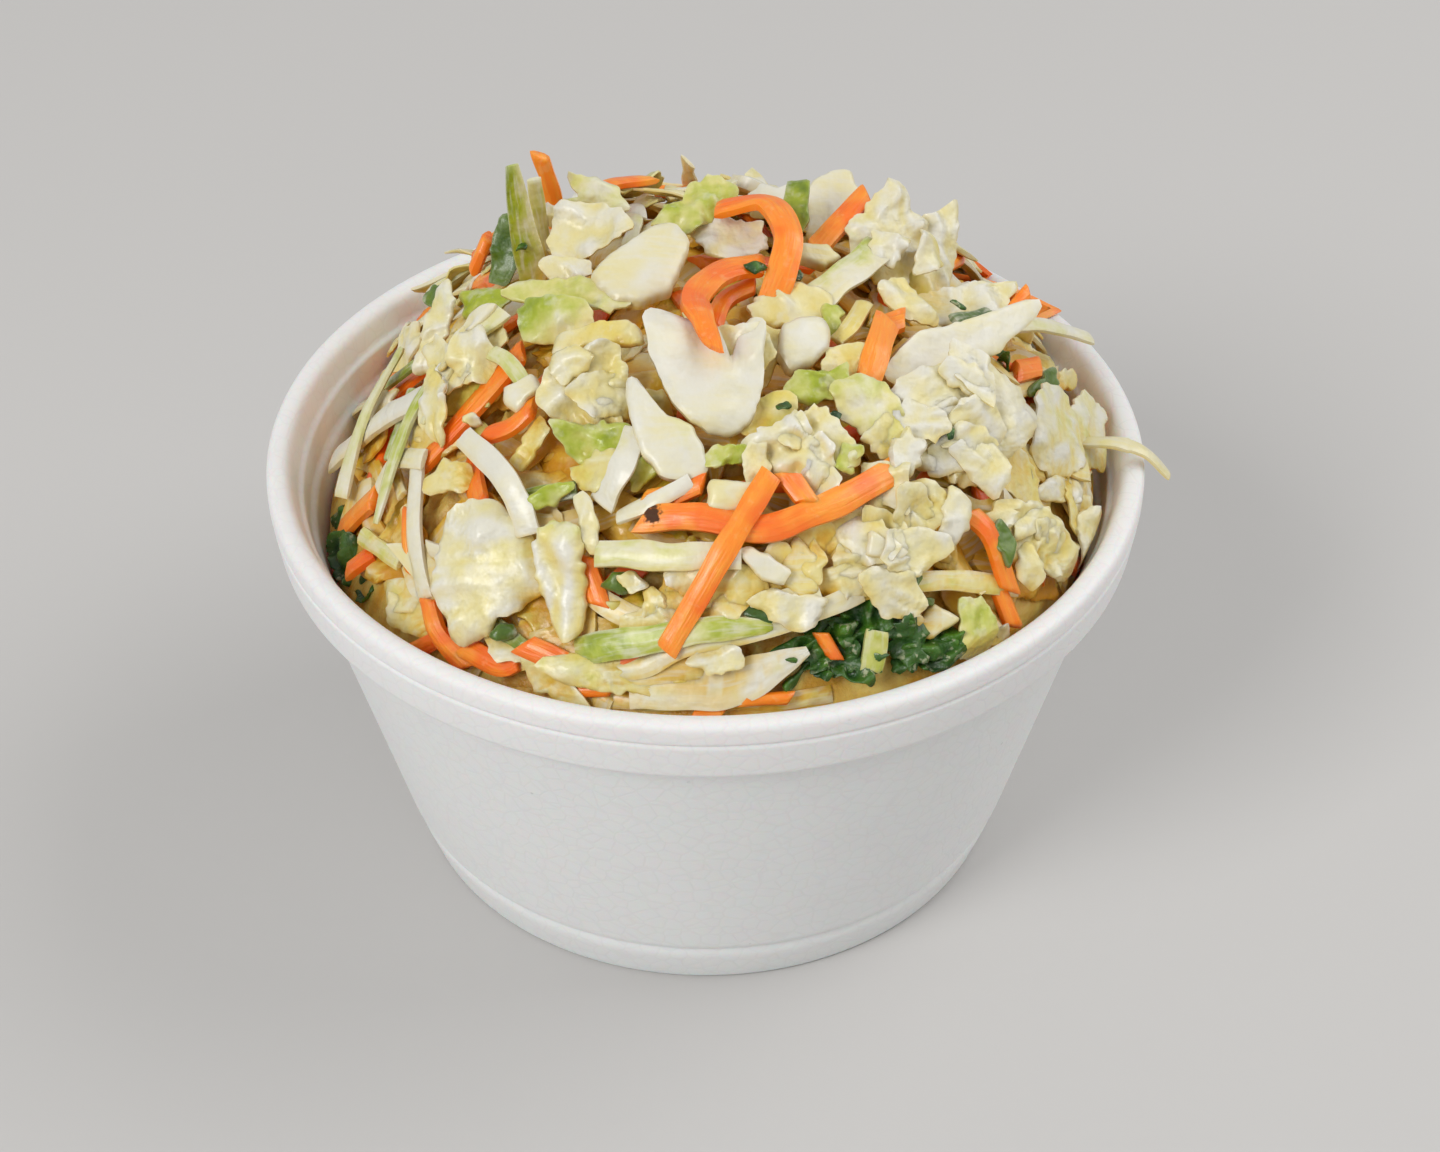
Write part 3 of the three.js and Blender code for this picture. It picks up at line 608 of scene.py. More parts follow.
def strewn(tray, spots):
    """Where a kind's loose pieces lie and face, a little askew on the slope, and how far back."""
    for x, y in spots:
        x = x + tray.between(-2, 2)
        y = y + tray.between(-2, 2)
        if any(math.hypot(x - clear_x, y - clear_y) < reach
               for clear_x, clear_y, reach in CLEAR_PLACES):
            continue
        back = far_side(x, y)
        out = bed_normal(x, y)
        by_the_wall = max(0, -x / HEAP_RADIUS) ** 3
        lift = tray.between(-0.4, 2.2) + back * tray.between(1, 5) - 3 * by_the_wall
        at = np.array([x, y, bed_height(x, y)]) + lift * out
        yield at, unit(out + tray.draw.normal(0, 0.12 + 0.1 * back, 3)), back


WET_WHITE = (0.74, 0.72, 0.64, 1)
WHITE = (0.75, 0.73, 0.63, 1)
CREAM = (0.76, 0.69, 0.37, 1)
YELLOW = (0.765, 0.625, 0.16, 1)
GOLD = (0.70, 0.47, 0.05, 1)
FAINT_GREEN = (0.66, 0.66, 0.17, 1)
YELLOW_GREEN = (0.38, 0.45, 0.018, 1)
LEAF_GREEN = (0.12, 0.20, 0.005, 1)
DARK_GREEN = (0.035, 0.10, 0.003, 1)
# Painted shade: the tint that the colour is multiplied by where a point lies in the gaps.
GAP_SHADE_TINT = (0.94, 0.66, 0.16, 1)


def cabbage_paint(name, mottle=1.0, veins=0.0):
    """Wet cabbage: white veins, cream to yellow flesh, green outer leaf and painted golden shade in
    its creases and gaps.
    """
    flesh = Paint(name, Subsurface_Weight=0.4, Subsurface_Scale=0.0006, Coat_Weight=0.4,
                  Subsurface_Radius=(1.0, 0.95, 0.85), Coat_Roughness=0.18)
    grain = flesh.look("grain", "Vector")
    deep = flesh.look("deep")
    patches = flesh.blotches(5, detail=2, place=grain)
    small = flesh.blotches(1.5, detail=2, place=grain)
    # Painted shade: the creases between the raised ridges are painted yellower, over a random share.
    hollow = (1 - flesh.look("ridge")) * (0.3 + flesh.blotches(3.5, place=grain))
    yellowness = flesh.look("tone") + mottle * (patches - 0.5) + 0.6 * mottle * (hollow - 0.2)
    yellowness = (yellowness + 0.3 * mottle * (small - 0.5) + 0.45 * deep).clamped()
    pale = flesh.ramp(yellowness, [(0.05, WHITE), (0.4, CREAM), (0.8, YELLOW), (1.0, GOLD)])
    greenness = flesh.look("green") + 0.55 * (patches - 0.5) + 0.25 * (small - 0.5)
    leafy = flesh.ramp(greenness.clamped(), [(0.2, FAINT_GREEN), (0.5, YELLOW_GREEN),
                                             (0.75, LEAF_GREEN), (1.0, DARK_GREEN)])
    colour = flesh.mixed(greenness.over(0.3, 0.22), pale, leafy)
    # Painted shade: points far down in the gaps and faces turned down are painted darker and golden.
    colour = flesh.mixed(deep, colour, GAP_SHADE_TINT, "MULTIPLY")
    if veins:
        fibres = flesh.node("ShaderNodeMapping", {}, {"Vector": grain, "Scale": (0.15, 1, 1)})
        strands = flesh.blotches(0.7, detail=2, place=fibres)
        colour = flesh.mixed(veins * strands.over(0.56, 0.1), colour, WHITE)
    cut_edge = flesh.look("rim").over(0.93, 0.07) * (1 - deep)
    colour = flesh.mixed(0.15 * cut_edge, colour, WET_WHITE)
    film = flesh.blotches(2.4, detail=3).over(0.62, 0.06) * (1 - deep)
    flesh.feed("Base Color", flesh.mixed(0.3 * film, colour, WET_WHITE))
    flesh.feed("Roughness", 0.33 + 0.25 * flesh.blotches(1.8))
    wrinkles = flesh.relief(flesh.blotches(2.6, detail=2, place=grain), 0.8 * mottle)
    fine = flesh.relief(flesh.blotches(0.9, place=grain), 0.16 * mottle, under=wrinkles)
    flesh.feed("Normal", fine)
    return flesh


# The larger chips that show, from the back of the heap to its front.
laid_chips = [
    dict(at=(-15.5, 12, 85.5), facing=(-0.2, -0.5, 0.8), tone=0.12, dish=(4, 5), thick=0.8,
         outline=[(-5.5, -2.5), (-4, 3.5), (1.5, 4), (5, 2), (7, -1), (0.5, -4.5), (-3.5, -4)]),
    dict(at=(-20.5, 17, 84.5), long=4, wide=3.5, tone=0.1, thick=2),
    dict(at=(-18, 3, 85.5), facing=(-0.1, -0.4, 0.9), long=8, wide=3.5, tone=0.1),
    dict(at=(3.5, 8, 86.5), facing=(-0.1, -0.4, 0.9), long=11, wide=7, tone=0.02),
    dict(at=(11, -6.5, 85.5), facing=(0.1, -0.5, 0.9), tone=0.25, thick=2,
         outline=[(-6, -0.5), (-3, 2.5), (1, 3.5), (5, 2.5), (5.5, -1.5), (0, -3), (-4.5, -2.5)]),
    dict(at=(32, -22, 79.5), facing=(0.3, -0.6, 0.7), tone=0.12, thick=1, crinkle=1, ruffle=0.7,
         dish=(-2, -2), ragged=0.5, green=0.02, greener=(-0.2, -0.1),
         outline=[(-9, 4), (-4.5, 6.5), (2, 8.5), (6, 6.5), (9.5, 4.5), (8.5, 3), (11, 0.5),
                  (9, -2.5), (6.5, -4.5), (5, -7.5), (0.5, -8.5), (-2.5, -6.5), (-6.5, -6),
                  (-9.5, -3.5), (-10.5, 0.5)]),
    dict(at=(20, -24.3, 82.3), facing=(0.2, -0.6, 0.8), tone=0.25, green=0.22, greener=(0, 0.2),
         crinkle=0.6,
         outline=[(-5, 3), (-1, 4.5), (3, 4), (4.5, 1), (5, -3.5), (3, -5.5), (0, -3.5), (-3.5, -1)]),
    dict(at=(12.5, -32, 82), facing=(0.1, -0.7, 0.7), thick=1.2, tone=0.12, crinkle=0.7,
         ruffle=0.35, greener=(0.5, 0), dish=(-2.5, -2.5), ragged=0.6, wave=0.3,
         dents=[(0.5, 3, 1, 1.4), (-1.8, 0.8, 1, 1.6), (2.4, -0.3, 1.1, 1.5),
                (-1.4, -2.6, 0.9, 1.3), (-4.4, -0.4, 1, 1.4)],
         outline=[(-6, 1.5), (-2, 4.5), (1, 6), (2.5, 5.5), (3.5, 3.5), (6, 1.5), (6, -1.5),
                  (4.5, -3), (1.5, -3.5), (0.5, -5.5), (-3, -3.5), (-5.5, -2), (-7.5, -0.5),
                  (-7, 1.5)]),
    dict(at=(6, -34, 81.5), facing=(0.1, -0.7, 0.7), long=6, wide=4, turn=100, tone=0.15),
    dict(at=(22, -26.5, 80), facing=(0.2, -0.6, 0.8), long=7, wide=5, turn=40, tone=0.45),
    dict(at=(24.5, -29, 79.5), facing=(0.2, -0.6, 0.7), long=7, wide=5, turn=45, tone=0,
         thick=2.6, edge=0.3),
    dict(at=(41.5, -28, 65), facing=(0.6, -0.6, 0.5), tone=0.35, thick=1, crinkle=0.8,
         ruffle=0.6,
         outline=[(-8.5, 2.5), (-6, 5), (-1, 5), (3.5, 3), (6.5, 0), (8.5, -2), (8, -3.5),
                  (4, -5.5), (1, -4), (-4, -3), (-6.5, -0.5)]),
    dict(at=(42, -29.5, 59), facing=(0.7, -0.5, 0.5), long=10, wide=4, tone=0.45),
    dict(at=(30.5, -33, 72.5), facing=(0.3, -0.7, 0.6), tone=0.05, thick=1.2,
         outline=[(-2, -0.5), (-0.5, 3.5), (0.5, 4), (2, 2), (2, -1.5), (0, -3.5), (-2, -3)]),
    dict(at=(24, -34, 74.5), facing=(0.3, -0.7, 0.7), tone=0.4, thick=1, crinkle=0.8, ruffle=0.6,
         outline=[(-8, -3), (-5.5, -0.5), (-2, 2.5), (3, 4), (6, 2.5), (6.5, -0.5), (3, -2.5),
                  (-1.5, -4), (-5, -2.5)]),
    dict(at=(22.5, -39, 71.5), facing=(0.2, -0.7, 0.7), tone=0.25, thick=1, crinkle=0.8,
         ruffle=0.6,
         outline=[(-7.5, -1), (-6, 1.5), (-2, 2.5), (4.5, 3.5), (8, 2), (7.5, 0.5), (5.5, -1),
                  (2.5, -3), (0, -1.5), (-3, -4), (-5.5, -4)]),
    dict(at=(10.5, -45.5, 69), facing=(0.1, -0.8, 0.6), tone=0.12, thick=1.6,
         outline=[(-5, 0.5), (-2, 2), (2, 1.5), (4.5, 0.5), (3, -2), (0.5, -3), (-2.5, -1.5)]),
    dict(at=(13, -41.5, 72), facing=(0.1, -0.7, 0.7), long=6, wide=3, turn=90, tone=0.45),
    dict(at=(-2, -44, 70.5), facing=(0, -0.8, 0.7), long=8, wide=6, turn=30, tone=0.45),
    dict(at=(3, -45.5, 69), facing=(0, -0.8, 0.7), long=8, wide=4, turn=35, tone=0.45),
    dict(at=(-6, -45, 68.5), facing=(-0.1, -0.8, 0.6), long=5, wide=3.5, turn=100, tone=0.4),
    dict(at=(-9, -44, 67), facing=(-0.1, -0.7, 0.7), long=6, wide=4.5, tone=0.45, green=0.3),
    dict(at=(-9, -43.5, 70.5), facing=(-0.1, -0.8, 0.7), long=3.5, wide=2.5, tone=0.1),
    dict(at=(-27, -37.5, 68.5), facing=(-0.3, -0.7, 0.6), tone=0.12, thick=1.5, crinkle=0.9,
         fold=5, dish=(-2.5, -1.5), ragged=0.35, ruffle=0.25, wave=0.9, green=0.08,
         dents=[(-3, 6, 1.4, 1.4), (5.5, -4.5, 1.4, 1.2)], greener=(0.1, 0.2),
         outline=[(-7.5, -3), (-6.5, 2.5), (-5.5, 5), (-4, 8), (0.5, 8), (4, 6), (7, 2.5),
                  (8.5, -2.5), (5, -5), (2, -6.5), (0.5, -8.5), (-3.5, -10), (-4.5, -7)]),
    dict(at=(-17, -41.5, 70), facing=(-0.2, -0.7, 0.6), tone=0.25, thick=2, pleats=0.25,
         green=0.05, greener=(0, 0.5),
         outline=[(-3.5, 4), (-2.5, 6.5), (2, 6.5), (2.5, 2), (2.5, -4), (2, -7.5), (0, -8),
                  (-1, -5.5), (-3, -1.5)]),
    dict(at=(-14, -37, 75), facing=(-0.1, -0.7, 0.7), tone=0.15,
         outline=[(-2, 2.5), (-1, 4), (0.5, 2.5), (1.5, -1), (1, -4), (-0.5, -3.5), (-1, -1)]),
    dict(at=(-36.5, -13, 71), facing=(-0.5, -0.5, 0.7), long=5, wide=4, tone=0.15, thick=1),
    dict(at=(-32, -23, 71), facing=(-0.4, -0.6, 0.7), long=7, wide=5, tone=0.45),
    dict(at=(-37, -32.5, 57), facing=(-0.5, -0.6, 0.6), long=11, wide=6, turn=-20, tone=0.35),
    dict(at=(-13, -15, 87), facing=(-0.2, -0.5, 0.9), tone=0.55, thick=1.2,
         outline=[(-6, -2), (-5.5, 0.5), (0, 2.5), (4, 1.5), (5.5, -2), (0, -1)]),
    dict(at=(-14.5, -22.5, 84.5), facing=(-0.1, -0.7, 0.7), tone=0.25, thick=1, crinkle=1,
         ruffle=0.4, dents=[(3, 2.5, 1.3, 1.2)], green=0.05,
         outline=[(-6, -0.5), (-4, 3.5), (-1.5, 3.5), (-1, 4.5), (1.5, 5.5), (4, 5), (5.5, 2.5),
                  (4.5, -1.5), (4.5, -5.5), (2.5, -4.5), (0.5, -6), (-3, -4.5), (-5.5, -3)]),
    dict(at=(-21.5, -25, 77.5), facing=(-0.3, -0.6, 0.8), long=8, wide=4.5, turn=45, tone=0.5),
    dict(at=(-6, -24, 82.5), facing=(0.1, -0.6, 0.8), long=6, wide=4, turn=100, tone=0.5),
    dict(at=(37, -38.5, 58.5), facing=(0.5, -0.6, 0.5), long=4, wide=3, tone=0.05),
    dict(at=(8, -15.5, 85), facing=(0, -0.5, 0.9), long=9, wide=6, turn=60, tone=0.4),
    dict(at=(7.5, -26.5, 83.5), facing=(0.1, -0.6, 0.8), long=9, wide=5.5, turn=20, tone=0.5,
         green=0.2),
    dict(at=(6, -38, 75.5), long=8, wide=5, turn=10, tone=0.2),
    dict(at=(8.5, -42, 71.5), facing=(0, -0.8, 0.6), long=11, wide=6, turn=30, tone=0.35),
    dict(at=(2.5, -44, 70.5), facing=(0, -0.8, 0.6), long=12, wide=7, turn=-10, tone=0.4),
    dict(at=(-4, -44.5, 69), facing=(-0.1, -0.8, 0.6), long=9, wide=6, turn=40, tone=0.35),
    dict(at=(-6, -46.5, 67), facing=(-0.1, -0.8, 0.6), long=10, wide=4, tone=0.3),
    dict(at=(13.5, -39.5, 72.5), facing=(0.1, -0.8, 0.6), long=11, wide=7, turn=-30, tone=0.4),
    dict(at=(17.5, -41, 70), facing=(0.2, -0.8, 0.6), long=9, wide=6, turn=20, tone=0.2),
    dict(at=(16.5, -36.5, 74.5), facing=(0.2, -0.7, 0.7), long=10, wide=6, turn=50, tone=0.4),
    dict(at=(-12.5, -31.5, 79), facing=(-0.2, -0.7, 0.7), long=8, wide=5, turn=10, tone=0.4,
         green=0.2),
    dict(at=(18, -17, 84), facing=(0.2, -0.5, 0.8), long=9, wide=6, turn=30, tone=0.45),
    dict(at=(26, -2, 84), facing=(0.3, -0.4, 0.8), long=10, wide=6, turn=-20, tone=0.3),
    dict(at=(39.5, -21, 70), facing=(0.6, -0.4, 0.7), long=12, wide=8, turn=-40, tone=0.4,
         green=0.15),
    dict(at=(50, -19, 58), facing=(0.8, -0.4, 0.4), long=12, wide=7, turn=60, tone=0.2),
    dict(at=(-43, -2, 65.5), facing=(-0.7, -0.3, 0.6), long=12, wide=5, turn=60, tone=0.2),
    dict(at=(3.5, -20, 87.5), facing=(0, -0.6, 0.8), long=9, wide=9, tone=0.3, slab=middle_slab),
]

chips = Tray("cabbage_chips", 11)
for chip in laid_chips:
    leaf(chips, **chip)
frill(chips, 7, 7, at=(32, -22, 79.5), facing=(0.3, -0.6, 0.7), tone=0.08, crinkle=0.4, fold=3)
frill(chips, 3, 5, at=(22.5, -39, 71.5), facing=(0.2, -0.7, 0.7), tone=0.15, crinkle=0.4)
frill(chips, 3, 5, at=(24, -34, 74.5), facing=(0.3, -0.7, 0.7), tone=0.3, crinkle=0.4)
frill(chips, 3, 4, at=(41.5, -28, 65), facing=(0.6, -0.6, 0.5), size=8, tone=0.25, crinkle=0.4)
frill(chips, 2, 4, at=(-14.5, -22.5, 84.5), facing=(-0.1, -0.7, 0.7), size=7, tone=0.25)
frill(chips, 3, 4, at=(12.5, -32, 81.5), facing=(0.1, -0.7, 0.7), size=6, tone=0.1)
frill(chips, 2, 4, at=(27, 7, 84.5), facing=(0.3, -0.6, 0.7), size=7, tone=0.1, green=0.1)
frill(chips, 4, 5, at=(-33, -10, 77.5), facing=(-0.5, -0.5, 0.7), size=9, tone=0.25)
for at, facing, back in strewn(chips, chain(heap_places(0, 3, 5), foot_places(0, 3))):
    leaf(chips, at, facing, long=chips.between(9, 16), wide=chips.between(3.5, 7.5),
         turn=chips.between(0, 360), slab=small_slab if back > 0.5 else middle_slab,
         thick=chips.between(0.7, 1.2), wave=chips.between(0.4, 1.2),
         ragged=chips.draw.choice([0.1, 0.4]), crinkle=chips.between(0.3, 1.0),
         tone=chips.between(0, 0.35), green=chips.between(-0.3, 0.25),
         ruffle=chips.draw.choice([0, 0.2, 0.4]),
         dish=(chips.between(-5, 5), chips.between(-3, 3)))

shown("cabbage_chips", chips.mesh(), cabbage_paint("cabbage_chip"), crease=50)


# ---- White cabbage ribs --------------------------------------------------------------
# Thick smooth cuts of the white ribs and leaf bases, some curved as the leaf's foot is.
# They are slabs too, but thicker, hardly folded and with clean cut edges.

laid_ribs = [
    dict(at=(-7.5, -0.5, 88), facing=(0.1, -0.4, 0.9), thick=2.8, tone=0.15, green=-0.2,
         dish=(-1.5, -1.5),
         outline=[(-7, -2), (-6, 0), (1, 6.5), (3.5, 7), (5.5, 4), (5, 1.5), (3, -4),
                  (-0.5, -6), (-4, -5.5)]),
    dict(at=(9.5, 21, 84), facing=(0.1, -0.3, 0.9), thick=2,
         outline=[(-4, 0.5), (-2, 3), (0, 2.5), (2.5, 4), (3, 2.5), (3, -2), (-3.5, -2.5)]),
    dict(at=(17, 21, 83.5), facing=(0.1, -0.5, 0.9), thick=2.5, tone=0.1,
         outline=[(-4, 2), (-2, 4.5), (0.5, 5.5), (2.5, 5.5), (3.5, 2.5), (3, -1), (1.5, -3),
                  (-1.5, -5.5), (-3.5, -5.5), (-3, -1)]),
    dict(at=(14.5, 5, 86), facing=(0.2, -0.5, 0.9), long=6, wide=4, thick=2.5, tone=0.4),
    dict(at=(12.5, -15.5, 86), facing=(0.2, -0.5, 0.9), thick=3.2,
         outline=[(-3.5, -2), (-3, 2), (-0.5, 3.5), (2, 3.5), (3, 2), (3, -0.5), (0.5, -3),
                  (-2, -4)]),
    dict(at=(32, -8.5, 81), facing=(0.5, -0.5, 0.7), thick=1.8, edge=0.7,
         outline=[(-11.5, -6), (-9, -2.5), (-5.5, 1), (7, 6), (14, 9.5), (12, 6), (7.5, 2.5),
                  (6.5, 0.5), (4.5, -0.5), (-4, -5), (-8.5, -7)]),
    dict(at=(21.5, -39.5, 73), facing=(0.2, -0.7, 0.7), long=5.5, wide=4, thick=2),
    dict(at=(3, -37, 78.5), facing=(0, -0.7, 0.7), long=9, wide=5, thick=3, tone=0.35,
         turn=10),
    dict(at=(11.5, -42, 71), facing=(0.1, -0.7, 0.7), long=7, wide=5, turn=90, thick=3, tone=0.5),
    dict(at=(7, -43.5, 73), facing=(0, -0.7, 0.7), thick=1.8, greener=(0.2, 0.6),
         outline=[(-3, 2), (-1.5, 2.5), (1.5, 1), (3.5, -0.5), (2.5, -2), (0, -1.5), (-1.5, 0)]),
    dict(at=(-22.5, -19.5, 81.5), facing=(-0.3, -0.6, 0.7), long=5.5, wide=4, turn=20, thick=2.5),
    dict(at=(3.3, -25.4, 85.2), facing=(0, -0.6, 0.8), thick=1.8, dish=(3, -2), wave=0.2, tone=0,
         dents=[(-0.8, 2.5, 2.2, -1), (-2.3, -2.5, 3.4, -1.4), (3, 6, 1.6, -1.4), (-7, 7, 3, -0.7)],
         outline=[(4.2, 10.8), (1.2, 10.6), (0.9, 7), (0.8, 5), (-0.3, 4.2), (-1, 5.2), (-1.6, 10.2),
                  (-6, 10), (-9.3, 11.2), (-11, 10.5), (-9.7, 7.6), (-9.9, 5.2), (-8.7, 2.3),
                  (-7.3, -0.8), (-5.2, -3.4), (-3.2, -4.7), (-1.1, -5.1), (0.9, -4.7), (2.6, -3),
                  (3.6, -0.2), (4, 2.7), (3.8, 6.8)]),
    dict(at=(-5, -30.5, 83), facing=(0, -0.6, 0.8), thick=2.2, green=0.02, greener=(0.5, 0.4),
         dish=(-2, 0),
         outline=[(-4.5, 7), (-3.5, 8), (-2, 5), (0.5, 2.5), (3.5, 1), (5, -2), (5.5, -4.5),
                  (4.5, -5.5), (0.5, -5.5), (-2, -3), (-3.5, 0)]),
    dict(at=(23, -42, 64), facing=(0.2, -0.7, 0.6), long=8, wide=4, turn=-15, thick=1.8, tone=0.3),
    dict(at=(28.5, -40.5, 62.5), facing=(0.3, -0.7, 0.6), long=7, wide=4.5, turn=40, thick=1.8,
         tone=0.25),
]

ribs = Tray("cabbage_ribs", 23)
for rib in laid_ribs:
    leaf(ribs, **{"tone": 0.08, "crinkle": 0.12, "wave": 0.35, "ragged": 0.15, "edge": 0.6, **rib})
for at, facing, _ in strewn(ribs, heap_places(1)):
    leaf(ribs, at, facing, long=ribs.between(6, 11), wide=ribs.between(3.5, 6.5), edge=0.7,
         turn=ribs.between(0, 360), slab=small_slab, thick=ribs.between(1.4, 2.6),
         wave=0.4, crinkle=0.1, ragged=0.15, tone=ribs.between(0.05, 0.35))

shown("cabbage_ribs", ribs.mesh(), cabbage_paint("cabbage_rib", mottle=0.5, veins=0.4),
      crease=50)


# ---- Cabbage shreds ------------------------------------------------------------------
# Strips cut across the leaves, white to pale green, lying over each other in every direction.
# A slab is drawn along a smooth route, with its broad side out of the heap.

def along_route(route, share):
    """Points on the smooth line through a route, at shares of it from 0 to 1."""
    stops = np.array(route, float)
    stops = np.vstack([2 * stops[0] - stops[1], stops, 2 * stops[-1] - stops[-2]])
    place = share * (len(route) - 1)
    leg = np.clip(place.astype(int), 0, len(route) - 2)
    w = (place - leg)[:, None]
    before, start, end, after = (stops[leg + k] for k in range(4))
    bend = 2 * before - 5 * start + 4 * end - after
    return 0.5 * (2 * start + (end - before) * w + bend * w ** 2
                  + (3 * start - before - 3 * end + after) * w ** 3)


def shred(tray, route, wide, thick, facing=None, twist=0, pointed=0.0, slant=0.0, rough=0.05,
          tone=0.2, green=0.1, green_end=None, green_side=0.0):
    """A strip along a route in millimetres. Its ends are cut at a slant, and the last one
    may run out to a point. It turns by twist degrees from one end to the other, and rough is
    the share of its width by which its edges stray. green goes over to green_end along it, and
    green_side is how much more of it one side has than the middle."""
    seed = int(tray.draw.integers(1 << 30))
    stops = np.array(route, float)
    length = np.linalg.norm(np.diff(stops, axis=0), axis=1).sum()
    slab = long_slab if length > 9 else short_slab
    share = 0.5 + 0.5 * slab.s + slant * slab.t * wide / length * np.abs(slab.s) ** 3
    middle = along_route(route, share)
    forward = unit(along_route(route, share + 0.01) - along_route(route, share - 0.01))
    if facing is None:
        up = bed_normal(middle[:, 0], middle[:, 1])
    else:
        up = np.broadcast_to(np.array(facing, float), middle.shape)
    up = unit(up - forward * (up * forward).sum(1, keepdims=True))
    sideways = np.cross(up, forward)
    tilt = (math.radians(twist) * 0.5 * slab.s)[:, None]
    up, sideways = (up * np.cos(tilt) - sideways * np.sin(tilt),
                    sideways * np.cos(tilt) + up * np.sin(tilt))
    grain_x = 0.5 * length * slab.s
    grain_y = 0.5 * wide * slab.t
    taper = 1 - pointed * np.clip(slab.s, 0, 1) ** 1.5
    width = 0.5 * wide * taper * (1 + 2 * rough * ripples(grain_x, 0 * grain_x, 3.5, seed))
    sway = rough * wide * ripples(grain_x, 0 * grain_x, 6, seed + 1)
    points = middle + sideways * (width * slab.t + sway)[:, None]
    cut = 1 - 0.5 * slab.t ** 4 - 0.3 * (np.abs(slab.s) > 0.999)
    bumps = 1 + 1.5 * rough * ripples(grain_x, grain_y, 2.5, seed + 2)
    points = points + up * (0.5 * thick * slab.side * cut * bumps * (0.4 + 0.6 * taper))[:, None]
    green_end = green if green_end is None else green_end
    shade = green + (green_end - green) * (0.5 + 0.5 * slab.s) + green_side * slab.t
    tray.add(slab, points, (grain_x, grain_y), ridge=0.6, tone=tone, green=shade)


